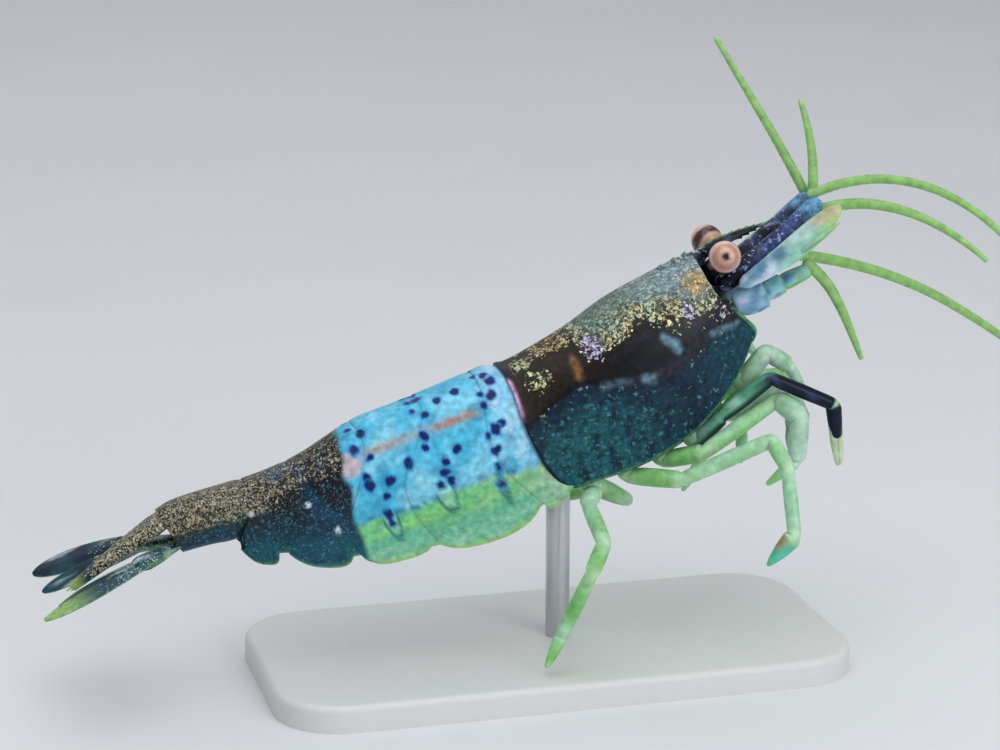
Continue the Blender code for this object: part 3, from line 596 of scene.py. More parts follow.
def share_down(v):
    """How far down the flank the sheet's v lies, and on which side; past OUTSIDE it is on the inside."""
    turn = 1 - 2 * v / OUTSIDE
    return abs(turn), (1 if turn >= 0 else -1)


def plate_share(u, v):
    return share_down(v)[0] if v <= OUTSIDE else 0.9


def plate_place(front, rear, edge, tuck, under=0.0):
    """place(u, v) for a plate; under is how far its front narrows, to slip under the one before."""
    def inset_at(u, s):
        length = front(s) - rear(s)
        to_rear, to_front = u * length, (1 - u) * length
        inset = 0.0
        for away in (to_rear, to_front):
            if away < HEM_LENGTH:
                inset += HEM_DROP * (1 - sqrt(1 - (1 - away / HEM_LENGTH) ** 2))
        if under and to_front < SLOPE:
            t = 1 - to_front / SLOPE
            inset += under * t * t * (3 - 2 * t)
        return inset

    def place(u, v):
        if v <= OUTSIDE:
            s, side = share_down(v)
            x = rear(s) + (front(s) - rear(s)) * u
            y, z = flank(x, s, edge, tuck)
            inset = inset_at(u, s)
            middle = (BACK(x) + EDGE(x)) / 2
            reach = max(sqrt(y * y + (z - middle) ** 2), 0.3)
            shrink = 1 - inset / reach
            return Vector((x, side * y * shrink, middle + (z - middle) * shrink))
        w = 3 * (v - OUTSIDE) / (1 - OUTSIDE)
        if w < 1:
            s, side = 1 - 0.2 * w, -1
        elif w < 2:
            s, side = 0.8, 3 - 2 * w
        else:
            s, side = 0.8 + 0.2 * (w - 2), 1
        x = rear(s) + (front(s) - rear(s)) * u
        y, z = flank(x, s, edge, tuck)
        wall = WALL + (LOW_WALL - WALL) * (1 - s) / 0.2
        arch = 0.25 * (1 - side * side)
        shrink = 1 - inset_at(u, s) / 2
        return Vector((x, side * (y - wall) * shrink, z + 0.12 * (1 - s) / 0.2 + arch))

    return place


print("plates are rolled over the outer", OUTSIDE, "of a sheet")

# %% [markdown]
# ## Carapace
# One shield covers head and breast. In this colour form it is almost black, with a dense band of pale
# and golden grains along the back and a teal, mottled side below a fine groove. The pattern is painted
# by place on the body, with soft edges, and the grains break those edges up.
# %% Carapace paint
def paint_carapace(P, U, part, **rest):
    x, y, z = P.T
    shake, small = wobble(P, 2.2, 3), wobble(P, 5.5, 4)
    groove_x = (-0.6, 1.0, 1.9, 3.0, 4.2, 4.9, 6.2, 7.5, 8.4)
    groove = np.interp(x, groove_x, (-2.0, -1.6, -1.45, -2.0, -2.5, -2.75, -2.6, -2.35, -2.5))
    limit_x = (2.2, 2.8, 3.2, 4.1, 4.8, 5.6, 6.6, 7.4, 8.0)
    limit = np.interp(x, limit_x, (-0.3, -0.45, -0.95, -0.9, -0.65, -0.85, -1.15, -1.6, -1.1)) + 0.14 * shake
    below = soft(z + 0.06 * small, groove + 0.1, groove - 0.3)
    lobe = soft(z, groove - 0.2, groove - 1.5) * soft(x, 6.0, 1.0)
    band = soft(z, limit - 0.2, limit + 0.15) * soft(x, 2.35, 2.7)
    high = soft(z, limit + 0.3, limit + 1.0)
    ground = Coat(P, (22, 16, 16)).over((32, 26, 18), soft(x, 2.8, 1.6) * 0.9)
    ground.over((64, 22, 24), cloud(P, 5.0, 10, 0.4, 0.9) * soft(x, 3.0, 1.0) * 0.5)
    ground.over((40, 44, 58), soft(x, 3.0, 4.0) * soft(z, limit, limit - 0.5) * 0.5)
    ground.over((10, 36, 56), below)
    ground.over((18, 78, 90), below * lobe)
    ground.over((8, 22, 50), below * cloud(P, 6.5, 9, 0.05, 0.6) * 0.8)
    ground.over((14, 62, 78), below * soft(x, 5.0, 7.6) * 0.8)
    ground.over((4, 6, 12), spot(P, (4.6, 2.15, -1.7), 1.5, (1.4, 1, 0.5)) * 0.8)
    # A near-black line along the groove is painted shade, standing in for a groove that the mesh doesn't cut.
    ground.over((5, 6, 14), np.exp(-((z - groove) / 0.1) ** 2) * soft(x, 5.5, 2.5) * 0.9)
    ground.over(ramp(z - limit, (0, (40, 42, 34)), (0.6, (62, 74, 66)), (1.2, (82, 104, 100))), band)
    ground.over((104, 126, 134), band * high * soft(x, 4.4, 6.0) * 0.8)
    ground.over((18, 40, 16), soft(np.abs(y), 0.12, 0.02) * 0.6)
    density = band * 0.85
    grain_shades = (0, (226, 220, 176)), (0.35, (206, 206, 170)), (0.9, (142, 164, 150))
    fleck = Coat(P, ramp(z - limit, *grain_shades))
    fleck.over(SILVER, soft(x, 4.6, 6.2) * high * 0.7)
    gold = np.maximum(spot(P, (7.4, 1.3, -0.4), 0.75), soft(small, 0.1, 0.8) * (1 - high) * 0.8)
    fleck.over(GOLD, np.maximum(gold, soft(x, 2.4, 2.0)))
    ground.over((150, 124, 84), spot(P, (7.45, 1.3, -0.35), 0.55) * 0.7)
    patches = (
        ((0.4, 0.6, -0.15), 0.55), ((0.6, 1.35, -0.8), 0.6),
        ((1.3, 0.4, -0.1), 0.6), ((2.0, 0.5, -0.1), 0.65),
    )
    for centre, size in patches:
        density = np.maximum(density, 0.75 * spot(P, centre, size) * soft(small, -0.7, 0.1))
    fleck.over((200, 204, 160), soft(x, 1.3, 0.8))
    for centre, size in (((2.9, 1.45, -0.6), 0.62), ((6.65, 1.78, -1.1), 0.34)):
        lilac = spot(P, centre, size, (0.8, 1, 1.3))
        density = np.maximum(density, lilac)
        fleck.over((212, 200, 246), lilac)
    fleck.over((52, 118, 124), below)
    density = np.maximum(density, below * (0.1 + 0.25 * lobe))
    sparse = 0.16 * soft(z, limit + 0.1, limit - 0.3) * soft(z, limit - 0.8, limit - 0.3) * soft(x, 4.8, 6.0)
    density = np.maximum(density, sparse)
    ground.over((124, 88, 54), stroke(P, (2.1, -0.65), (1.95, -1.25), 0.24) * 0.75)
    # The blue-grey strokes on the side of the shell are painted highlights: glints of light on the wet shell.
    glint_strokes = (
        ((5.4, -1.4), (5.7, -2.1), 0.24, 0.95), ((7.1, -2.3), (8.2, -2.55), 0.2, 0.6),
        ((4.1, -2.45), (4.3, -2.55), 0.28, 0.8), ((2.6, -1.95), (3.6, -2.25), 0.2, 0.3),
    )
    for start, end, width, amount in glint_strokes:
        ground.over((104, 140, 160), stroke(P, start, end, width) * amount)
    cheek = spot(P, (7.7, 1.4, -1.7), 0.8, (1.2, 1, 0.8))
    density = np.maximum(density, 0.3 * cheek)
    fleck.over((196, 196, 216), cheek * (1 - band))
    # The green band along the lower lip and the lower front edge is the shell's green edge, laid on brightly
    # as painted rim light.
    rim = np.maximum(soft(part, 0.975, 0.998), soft(U, 0.985, 0.998) * soft(part, 0.7, 0.8))
    ground.over((110, 176, 110), rim * 0.9)
    hem = soft(U, 0.02, 0.008)
    ground.over((12, 14, 44), hem)
    ground.over((186, 146, 180), hem * soft(part, 0.2, 0.28) * soft(part, 0.6, 0.5))
    fleck.amount = density * (1 - rim) * (1 - hem)
    return ground, fleck


print("carapace colours ready")
# %% Carapace
clay = Clay()
clay.sheet(130, 200, plate_place(FRONT_EDGE, SEAMS[0], EDGE, 0.84), plate_share)
for x in (6.5, 7.0, 7.5):
    root, tip = Vector((x - 0.1, 0, BACK(x) - 0.08)), Vector((x + 0.36, 0, BACK(x) + 0.17))
    path = [root, root.lerp(tip, 0.3), root.lerp(tip, 0.6), root.lerp(tip, 0.85), tip]
    clay.bar(path, [0.16, 0.12, 0.08, 0.05, 0.02], 10)
clay.finish("carapace", "carapace_shell", DARK, paint_carapace)
# %% [markdown]
# ## Abdomen
# The first three tail segments are the clear blue window of the rili form: milky cyan muscle seen through
# the shell, with dark blue dots in columns near each rear rim. Below the muscle the side flaps are thin
# and green. The last three segments are dark again, with pale grains on top.
# %% Colours of the blue window
DOTS = (
    (-1.35, 0.33, 0.17), (-1.03, 0.55, 0.16), (-0.91, 0.86, -0.01), (-1.49, 1.05, -0.27),
    (-1.14, 1.24, -0.38), (-1.57, 1.4, -0.52), (-1.35, 1.69, -1.37), (-1.63, 1.72, -1.45),
    (-1.99, 1.62, -1.61), (-1.97, 1.81, -2.16), (-2.15, 1.8, -2.75), (-2.36, 1.8, -3.43),
    (-3.65, 0.29, 0.5), (-2.96, 0.78, 0.27), (-2.23, 0.74, 0.21), (-3.95, 0.3, 0.5),
    (-4.0, 0.8, 0.27), (-6.5, 1.1, 0.2), (-3.61, 1.08, 0.09), (-4.02, 1.45, -0.45),
    (-4.18, 1.59, -0.83), (-3.19, 1.72, -1.4), (-4.99, 1.6, -1.02), (-3.76, 1.75, -1.6),
    (-3.98, 1.78, -1.95), (-4.31, 1.78, -2.27), (-3.9, 1.79, -2.35), (-5.87, 1.67, -1.22),
    (-6.3, 0.4, 0.7), (-5.96, 0.83, 0.63), (-6.12, 1.4, -0.18), (-6.57, 1.55, -0.77),
    (-6.61, 1.59, -1.06), (-6.23, 1.67, -1.7), (-6.48, 1.65, -2.31), (-6.52, 1.63, -2.74),
)
CYAN, HAZE, INK = (64, 178, 214), (150, 214, 236), (8, 28, 96)


def paint_blue(P, x, z):
    shake, drift, ragged = wobble(P, 1.6, 5), wobble(P, 3.6, 8), wobble(P, 9.0, 6)
    muscle_x = (-8, -7.7, -6.7, -5.7, -4.84, -3.6, -2.5, -1.3, 0)
    muscle_z = (-2.0, -2.08, -2.33, -2.55, -2.6, -2.78, -2.95, -3.4, -3.6)
    muscle = np.interp(x, muscle_x, muscle_z) + 0.06 * drift
    ground = Coat(P, CYAN).over(HAZE, 0.1 + 0.45 * soft(shake, -0.1, 0.6) + 0.3 * soft(drift, 0, 0.7))
    ground.over((26, 138, 180), cloud(P, 2.8, 12, 0.1, 0.8) * 0.6)
    ground.over((30, 150, 170), soft(ragged, 0.2, 0.9) * soft(shake, 0.3, -0.5) * 0.5)
    ground.over((196, 222, 240), soft(x, -2.0, -0.9) * soft(drift + 0.5 * ragged, -0.3, 0.8) * 0.7)
    gut = np.interp(x, (-6.3, -5.9, -3.9, -2.0, -1.6), (0.0, -0.02, -0.3, -0.62, -0.66))
    band = np.exp(-((z - gut) / 0.17) ** 2) * soft(x, -6.6, -6.0) * soft(x, -1.6, -2.1) * (0.75 + 0.4 * shake)
    ground.over((172, 142, 130), band * 0.8)
    ground.over((170, 112, 84), stroke(P, (-3.4, -0.4), (-2.2, -0.6), 0.2) * 0.75)
    ground.over((206, 172, 170), spot(P, (-6.9, 1.3, -0.1), 0.6) * 0.75)
    ground.over((150, 200, 226), soft(x, -1.9, -0.8) * 0.5)
    lower = np.array([EDGE(v) for v in x])
    depth = np.clip((muscle - z) / (muscle - lower), 0, 1.1)
    green_shades = (
        (0, (104, 188, 140)), (0.3, (130, 202, 122)), (0.55, (112, 188, 156)), (0.85, (138, 202, 166)),
        (1.0, (168, 212, 104)),
    )
    green = Coat(P, ramp(depth, *green_shades))
    streak = np.sin(z * 11 + 2 * wobble(P * (0.5, 1, 1), 1.5, 21))
    green.over((84, 172, 150), soft(streak, 0.1, 0.9) * 0.5)
    green.over((196, 220, 196), cloud(P * (0.4, 1, 1.4), 3.4, 22, 0.2, 0.8) * 0.45)
    green.over((164, 196, 164), soft(x, -1.8, -0.6) * 0.7)
    ground.over(green, soft(z, muscle + 0.06, muscle - 0.08))
    ground.over((14, 96, 150), np.exp(-((z - muscle) / 0.05) ** 2) * soft(x, -1.2, -1.8) * 0.75)
    for cx, top, half in ((-2.35, -3.1, 0.16), (-4.3, -2.5, 0.34), (-6.5, -2.4, 0.26)):
        away = np.sqrt(((x - cx) / half) ** 2 + ((z - top) / 0.95) ** 2)
        under = soft(z, top + 0.05, top - 0.1)
        ground.over((150, 206, 170), soft(away, 1, 0.8) * under * 0.6)
        ground.over((20, 110, 110), soft(np.abs(away - 1), 0.09 / half, 0.02) * under * 0.85)
    for i, dot in enumerate(DOTS):
        stretch = np.array((1, 1, 1.25) if i % 3 else (1.2, 1, 0.95)) * (0.84 + 0.09 * (i * 7 % 5))
        away = far(P, dot, stretch) + 0.035 * ragged
        ground.over((50, 150, 220), soft(away, 0.26, 0.15) * 0.7)
        ground.over(INK, soft(away, 0.19, 0.12))
    return ground


print("the blue window has", len(DOTS), "dots on either side")
# %% Colours of the dark rear
WHITE_DOTS = ((-10.81, 1.06, 0.03), (-8.87, 1.34, -0.63), (-8.36, 1.46, -1.99))


def paint_dark(P, x, z):
    shake = wobble(P, 2.0, 31)
    middle = (np.array([BACK(v) for v in x]) + np.array([EDGE(v) for v in x])) / 2
    high = soft(z, middle - 0.4, middle + 0.6)
    ground = Coat(P, (14, 50, 70)).over((22, 22, 28), high)
    ground.over((44, 22, 44), cloud(P, 1.5, 41, 0.2, 0.8) * 0.5)
    ground.over((16, 84, 96), soft(z, middle - 0.2, middle - 1.0) * (0.5 + 0.4 * shake))
    ground.over((14, 88, 60), soft(z, -2.3, -2.7) * soft(x, -9.5, -10.2) * 0.8)
    ground.over((12, 70, 74), stroke(P, (-11.3, 0.1), (-12.4, 0.3), 0.5) * 0.8)
    ground.over((50, 50, 40), high * soft(x, -9.5, -12.5) * 0.7)
    ground.over((18, 62, 92), cloud(P, 3.4, 43, 0, 0.6) * soft(x, -11.0, -9.4) * 0.7)
    line = np.interp(x, (-13.4, -12.0, -11.0, -9.5, -8.3, -7.2), (0.6, 0.5, 0.3, -0.25, -0.2, -0.1))
    pale = soft(z + 0.25 * shake, line - 0.4, line + 0.3)
    density = (0.42 + 0.4 * soft(x, -9.0, -11.0)) * pale
    fleck = Coat(P, (64, 118, 138)).over((176, 168, 144), soft(pale, 0.2, 0.7))
    for dot in WHITE_DOTS:
        ground.over((210, 225, 225), spot(P, dot, 0.15))
    fleck.amount = np.maximum(density, 0.28)
    return ground, fleck


def paint_abdomen(P, U, part, **rest):
    x, _, z = P.T
    dark, fleck = paint_dark(P, x, z)
    line = np.interp(z, (-4.5, -3.0, -2.1, -1.0, 0.1, 0.9), (-7.75, -7.75, -7.7, -7.35, -7.1, -6.7))
    night = soft(x + 0.16 * wobble(P, 3.0, 51), line + 0.14, line - 0.14)
    ground = paint_blue(P, x, z).over(dark, night)
    edge = soft(part, 0.975, 0.998) * (1 - 0.5 * night)
    ground.over((140, 196, 90), edge * 0.8)
    shadow = soft(U, 0.03, 0.0) * soft(part, 0.85, 0.7)
    ground.over((40, 130, 190), shadow * (1 - night) * 0.3)
    ground.over((120, 136, 170), shadow * night * soft(x, -8.2, -8.6) * soft(x, -9.4, -9.0) * 0.5)
    ground.amount = 1 - 0.12 * soft(z, -3.0, -3.6) * (1 - night) - 0.15 * edge
    fleck.amount = fleck.amount * night * (1 - edge)
    return ground, fleck


print("the dark rear has", len(WHITE_DOTS), "white dots on either side")
# %% Abdomen
def reaching(seam, ahead):
    """The front of a plate: it runs this far under the rim of the plate before it."""
    return lambda s: seam(s) + ahead


for i in range(5):
    rear = SEAMS[i + 1]
    edge = lobed(SEAMS[i](1.0) - 0.3, rear(1.0), LOBE_RISE[i])
    clay = Clay()
    place = plate_place(reaching(SEAMS[i], 0.4 if i else 0.25), rear, edge, 0.92, under=0.08 if i else 0.24)
    clay.sheet(60 if 0 < i < 3 else 40, 180, place, plate_share)
    name = "somite_%d" % (i + 1)
    slot = "clear_shell" if i < 3 else "dark_shell"
    clay.finish(name, slot, CLEAR if i < 4 else FAN, paint_abdomen)
underside = smooth_line((-14.0, -0.15), (-13.0, -0.38), (-12.2, -0.62), (-11.6, -0.9))


def last_place(u, v):
    s, side = share_down(v * OUTSIDE)
    front, rear, middle = SEAMS[5](s) + 0.4, SEAMS[6](s), 0.3
    x = rear + (front - rear) * u
    y, z = flank(x, s, underside, 0.45)
    t = max(0.0, 1 - (1 - u) * (front - rear) / SLOPE)
    shrink = 1 - 0.17 * t * t * (3 - 2 * t) / max(sqrt(y * y + (z - middle) ** 2), 0.3)
    return Vector((x, side * y * shrink, middle + (z - middle) * shrink))


clay = Clay()
clay.sheet(60, 110, last_place, lambda u, v: share_down(v * OUTSIDE)[0] * 0.9)
clay.finish("somite_6", "dark_shell", FAN, paint_abdomen)
# %% [markdown]
# ## Breast
# The legs grow from a row of plates between the two sides of the shield, and the mouth parts lie ahead
# of them. All of it stays in shadow, so one soft bar with shallow cross grooves is enough.
# %% Breast
def paint_breast(P, **rest):
    ground = Coat(P, (150, 205, 150)).over(MILK, cloud(P, 2.5, 61, -0.2, 0.6))
    # The cross grooves are painted darker teal: painted shade in the grooves.
    ground.over((60, 140, 130), soft(np.cos(P[:, 0] * GROOVES), 0.75, 1.0) * 0.5)
    return [ground]


GROOVES = 4.6
BREAST_REAR, BREAST_LENGTH = -0.45, 9.05
BREAST_HALF_WIDTH = smooth_line(
    (-0.5, 0.72), (0.8, 0.84), (2.5, 1.02), (5.0, 1.04), (6.8, 0.86), (7.8, 0.7), (8.8, 0.45),
)


def breast_place(u, v):
    x = BREAST_REAR + BREAST_LENGTH * u
    top = flank(x, 0.8, EDGE, 0.84)[1] - 0.18
    low, half = STERNUM(x), BREAST_HALF_WIDTH(x)
    close = min(1.0, sqrt(max(1 - (max(abs(2 * u - 1) - 0.94, 0) / 0.06) ** 2, 0)))
    angle = 2 * pi * v
    c, n = cos(angle), sin(angle)
    groove = 1 - 0.06 * max(0, cos(x * GROOVES)) ** 4
    across = abs(c) ** 0.55 * (1 if c > 0 else -1) * half * groove * close
    upward = abs(n) ** 0.55 * (1 if n > 0 else -1) * (top - low) / 2 * groove * close
    return Vector((x, across, (top + low) / 2 + upward))


clay = Clay()
clay.sheet(90, 40, breast_place)
clay.finish("breast", "limb_shell", LIMB, paint_breast, "mouthparts")
# %% [markdown]
# ## Rostrum
# Between the eyes the back runs out into a blade with a saw edge, one of the things that tell this
# shrimp from its cousins. One sheet is rolled into a thin lens and its top and bottom edges are pushed
# out into forward-leaning teeth.
# %% Rostrum
def paint_rostrum(P, **rest):
    x, _, z = P.T
    ridge = np.array([top(v) for v in x])
    ground = Coat(P, (16, 20, 34)).over((70, 84, 110), cloud(P, 3.0, 65, 0.1, 0.8) * 0.6)
    ground.over((110, 160, 96), soft(z, ridge - 0.03, ridge + 0.04) * 0.9)
    ground.over((120, 160, 120), soft(x, 10.6, 11.2) * 0.7)
    return ground, Coat(P, SILVER, 0.4 * soft(x, 9.0, 8.2))


ROSTRUM_ROOT, ROSTRUM_TIP = 7.85, 11.22
top = smooth_line((8.0, 0.24), (9.4, 0.18), (10.3, 0.02), (11.0, -0.17))
bottom = smooth_line((8.0, -0.36), (8.8, -0.24), (9.4, -0.2), (10.3, -0.22), (11.0, -0.2))


def tooth(x, first, last, pitch, height):
    """How far the saw edge stands out at x; each tooth rises slowly and drops at once."""
    return height * (((x - first) / pitch) % 1.0) ** 1.6 if first < x < last else 0.0


def rostrum_place(u, v):
    x = ROSTRUM_ROOT + (ROSTRUM_TIP - ROSTRUM_ROOT) * u
    angle = 2 * pi * v
    c, n = cos(angle), sin(angle)
    high, low = top(x) + tooth(x, 8.3, 10.95, 0.297, 0.07), bottom(x) - tooth(x, 9.7, 10.9, 0.305, 0.08)
    close = min(1.0, max(0.0, (ROSTRUM_TIP - x) / 0.25)) ** 0.7
    middle = -0.02 - 0.05 * (x - 8)
    reach = (high - middle if n > 0 else middle - low) * close
    thick = (0.22 - 0.15 * (x - 8.0) / 3.2) * close
    return Vector((x, c * abs(c) ** 0.4 * thick, middle + n * reach))


clay = Clay()
clay.sheet(180, 24, rostrum_place)
clay.finish("rostrum", "carapace_shell", DARK, paint_rostrum)
# %% [markdown]
# ## Eyes
# Each eye is a ball on a short stalk. Its surface is a mosaic of tiny lenses, so a dark false pupil seems
# to face whoever looks. It is painted where the camera sees it, with a rosy ball and a brown ring.
# %% Eyes
EYE_RADIUS, STALK_RADIUS = 0.6, 0.31
EYE_CENTRES = {"L": (9.02, 1.22, -0.12), "R": (8.84, -1.25, -0.14)}


def make_eye(letter, side):
    root, centre = Vector((8.05, side * 0.5, -0.5)), Vector(EYE_CENTRES[letter])
    axis = (centre - root).normalized()
    reach = (centre - root).length
    stations = [(0.0, 0.24), (0.2, 0.27), (0.42, 0.28), (reach - 0.53, STALK_RADIUS)]
    widest = acos(-sqrt(1 - (STALK_RADIUS / EYE_RADIUS) ** 2))
    for i in range(1, 25):
        angle = widest * (1 - i / 24)
        stations.append((reach + EYE_RADIUS * cos(angle), EYE_RADIUS * sin(angle)))
    outward = Vector((-0.111, side * 0.933, 0.342)).normalized()

    def paint(P, **rest):
        rays = P - np.array(centre)
        away = np.linalg.norm(rays, axis=1)
        facing = rays @ np.array(outward) / away
        angle = np.degrees(np.arccos(np.clip(facing, -1, 1)))
        # The ball is painted lighter towards its front and top: painted light on its lit side.
        ground = Coat(P, (184, 138, 124)).over((206, 164, 140), soft(rays[:, 0] + rays[:, 2], -0.4, 0.5))
        ground.over((150, 100, 92), soft(np.abs(angle - 42), 14, 3) * 0.55)
        ground.over((222, 182, 178), soft(np.abs(angle - 66), 13, 4) * 0.8)
        ground.over((120, 66, 56), soft(angle, 19, 13) * 0.9)
        ground.over((14, 8, 10), soft(angle, 12.5, 9.5))
        ground.over((60, 18, 30), soft(np.abs(angle - (101 if side > 0 else 118)), 24, 12))
        stalk = soft(away, EYE_RADIUS * 1.02, EYE_RADIUS * 1.1)
        ground.over((12, 16, 28), stalk)
        return [ground]

    clay = Clay()
    clay.tube([root + axis * d for d, _ in stations], [r for _, r in stations], sides=40)
    clay.finish("eye_" + letter, "eye_surface", EYE, paint)


for letter, side in SIDES:
    make_eye(letter, side)
# %% [markdown]
# ## Feelers and their stalks
# A shrimp has two pairs of feelers. The short pair stands on three-jointed stalks, each with two whips,
# and the long pair grows below beside a broad flat scale that it steers with.
# %% Chains of joints
# stations of a segment: share of its length, share of its radius, nearness to a joint
SEGMENT = ((0.1, 0.96, 0.8), (0.22, 1.0, 0.2), (0.5, 1.04, 0.0), (0.78, 1.0, 0.1), (0.92, 0.98, 0.7))
PINCH = 0.86


def jointed(joints, radii, tip_size):
    """Stations along a chain of segments, narrow at the joints, and how near each is to a joint."""
    points, sizes, marks = [joints[0]], [radii[0] * 0.92], [1.0]
    last = len(joints) - 2
    for i, (a, b) in enumerate(zip(joints, joints[1:])):
        end = radii[min(i + 1, last)] if i < last else tip_size
        pinch = PINCH * min(radii[i], end) if i < last else tip_size
        for share, size, mark in SEGMENT:
            width = radii[i] * size
            if i == last:
                width = radii[i] + (tip_size - radii[i]) * share ** 2
            points.append(a.lerp(b, share))
            sizes.append(width)
            marks.append(mark if i < last or share < 0.5 else 0.0)
        points.append(b)
        sizes.append(pinch)
        marks.append(1.0 if i < last else 0.3)
    return points, sizes, marks


def limb(clay, joints, radii, tip_size, sides=16):
    points, sizes, marks = jointed(joints, radii, tip_size)
    points, sizes = rounded(points, sizes)
    marks = [1.0] * len(DOME) + marks + [0.0] * len(DOME)
    marks = [m for m, after in zip(marks, marks[1:]) for m in (m, (m + after) / 2)] + [marks[-1]]
    points, sizes = finer(points, sizes)
    clay.tube(points, sizes, sides, part=lambda u, v: marks[round(u * (len(marks) - 1))])


print("a segment has", len(SEGMENT), "stations between its joints")
# %% Colours of stalks and scales
def paint_stalk(P, part, **rest):
    x = P[:, 0]
    ground = Coat(P, (10, 13, 26)).over((52, 62, 120), cloud(P * (0.5, 1.4, 1.4), 3.2, 71, 0.2, 0.9))
    # The pale lilac-blue streaks along the dark navy stalk are painted highlights.
    ground.over((128, 140, 190), cloud(P * (0.6, 1.5, 1.5), 4.4, 73, 0.45, 0.8) * 0.85)
    ground.over((96, 150, 186), soft(x + 0.3 * wobble(P, 4.0, 75), 11.9, 12.7) * 0.85)
    ground.over((96, 120, 170), part * soft(x, 9.0, 9.6) * 0.4)
    return ground, Coat(P, (150, 170, 220), 0.12)


def paint_scale(P, U, V, **rest):
    x = P[:, 0]
    pale = cloud(P, 2.4, 81, -0.3, 0.7)
    shades = (
        (9.0, (120, 166, 196)), (9.8, (122, 178, 190)), (11.4, (138, 186, 168)), (13.0, (138, 182, 112)),
    )
    ground = Coat(P, ramp(x, *shades)).over((176, 202, 204), pale * 0.7)
    ground.over((24, 60, 130), cloud(P, 3.4, 83, 0.45, 0.85) * soft(x, 12.0, 10.5) * 0.7)
    rim = soft(np.abs(np.cos(2 * pi * V)), 0.86, 0.98) * soft(U, 0.2, 0.3)
    ground.over((110, 180, 90), rim * soft(x, 9.6, 10.6))
    ground.over((196, 164, 138), spot(P, (12.9, 1.4, -0.5), 0.7, (1.3, 1, 1)) * 0.55)
    near_head = soft(x, 10.6, 10.0)
    ground.over((200, 200, 222), cloud(P, 5.0, 85, 0.1, 0.7) * near_head * 0.7)
    ground.over((52, 96, 150), cloud(P, 6.0, 86, 0.3, 0.9) * near_head * 0.6)
    return [ground]


print("blue stalks and pale scales mixed")
# %% [markdown]
# ## Thin plates
# Scales, paddles and the blades of the tail fan are thin plates. Each is rolled along a path, as a tube
# is, but with a flat section and a low rib, and its stations crowd towards the tip, which keeps it round.
# %% Thin plates
RIB, RIM = 0.35, 0.03


def leaf(clay, path, half_widths, thick, across, sides=28):
    """A thin plate along a path, with rounded rims and a low rib along its middle."""
    count = len(path)
    rings = []
    for i, point in enumerate(path):
        tangent = (path[min(i + 1, count - 1)] - path[max(i - 1, 0)]).normalized()
        side = (across - tangent * across.dot(tangent)).normalized()
        rings.append((point, side, tangent.cross(side)))

    def place(u, v):
        i = round(u * (count - 1))
        point, side, normal = rings[i]
        c, n = cos(2 * pi * v), sin(2 * pi * v)
        width = half_widths[i]
        height = (RIM + (thick - RIM) * (1 - abs(c) ** 1.6)) * min(1.0, width / 0.12)
        height *= 1 + RIB * max(0.0, 1 - (c / 0.16) ** 2)
        rise = abs(n) ** 0.6 * (1 if n > 0 else -1) * height
        return point + side * c * width + normal * rise

    clay.sheet(count - 1, sides, place)


def leaf_widths(count, root, widest, tip, peak=0.58):
    """Half widths for a leaf on a straight_path: round at the root, widest at peak, round at the tip."""
    widths = []
    for i in range(count):
        t = sin(pi / 2 * i / (count - 1))
        if t < peak:
            widths.append(root + (widest - root) * sin(pi / 2 * t / peak))
        else:
            u = (t - peak) / (1 - peak)
            widths.append(tip + (widest - tip) * sqrt(max(1 - u * u, 0)))
    widths[0], widths[1], widths[-1] = 0.0, 0.8 * widths[1], 0.0
    return widths


def straight_path(start, end, count, bow=Vector((0, 0, 0))):
    """Points from start to end, closer together near the end, bowed in the middle."""
    path = []
    for i in range(count):
        t = sin(pi / 2 * i / (count - 1)) if i else 0.0
        path.append(start.lerp(end, t) + bow * sin(pi * t))
    return path


print("a plate's rib rises by", round(100 * RIB), "percent")
# %% Stalks and scales
for letter, side in SIDES:
    clay = Clay()
    joints = ((8.5, 0.53, -1.3), (10.5, 0.55, -0.98), (11.7, 0.53, -0.72), (12.95, 0.52, -0.37))
    limb(clay, on_side(side, *joints), (0.4, 0.38, 0.4), 0.36, 22)
    clay.finish("antennule_base_" + letter, "dark_shell", DARK, paint_stalk)
    clay = Clay()
    joints = ((8.75, 1.05, -2.1), (9.7, 1.3, -2.1), (10.4, 1.36, -2.08), (11.35, 1.36, -2.14))
    limb(clay, on_side(side, *joints), (0.58, 0.4, 0.33), 0.28, 22)
    clay.finish("antenna_base_" + letter, "limb_shell", LIMB, paint_scale)
    clay = Clay()
    start, end = on_side(side, (8.8, 1.38, -1.36), (13.52, 1.45, -0.48))
    path = straight_path(start, end, 44, Vector((0, side * 0.3, -0.08)))
    leaf(clay, path, leaf_widths(44, 0.3, 0.64, 0.02, 0.6), 0.09, Vector((0, side, -0.45)))
    low, high = on_side(side, (0, 0.68, -0.25), (0, 0.68, -0.26))
    root, tip = start.lerp(end, 0.55) + low, start.lerp(end, 0.9) + high
    clay.bar([root, root.lerp(tip, 0.5), root.lerp(tip, 0.8), tip], [0.1, 0.13, 0.08, 0.03])
    clay.finish("antennal_scale_" + letter, "limb_shell", LIMB, paint_scale)
# %% [markdown]
# ## Whips
# The whips of the feelers are made of short rings, seven to the millimetre. Each whip follows a heading
# and a dip that change bit by bit along it, so it bends like a springy wire, and every second ring is a
# touch narrower.
# %% Feelers
def heading_vector(heading, dip, side):
    level = cos(radians(dip))
    return Vector((cos(radians(heading)) * level, side * sin(radians(heading)) * level, -sin(radians(dip))))


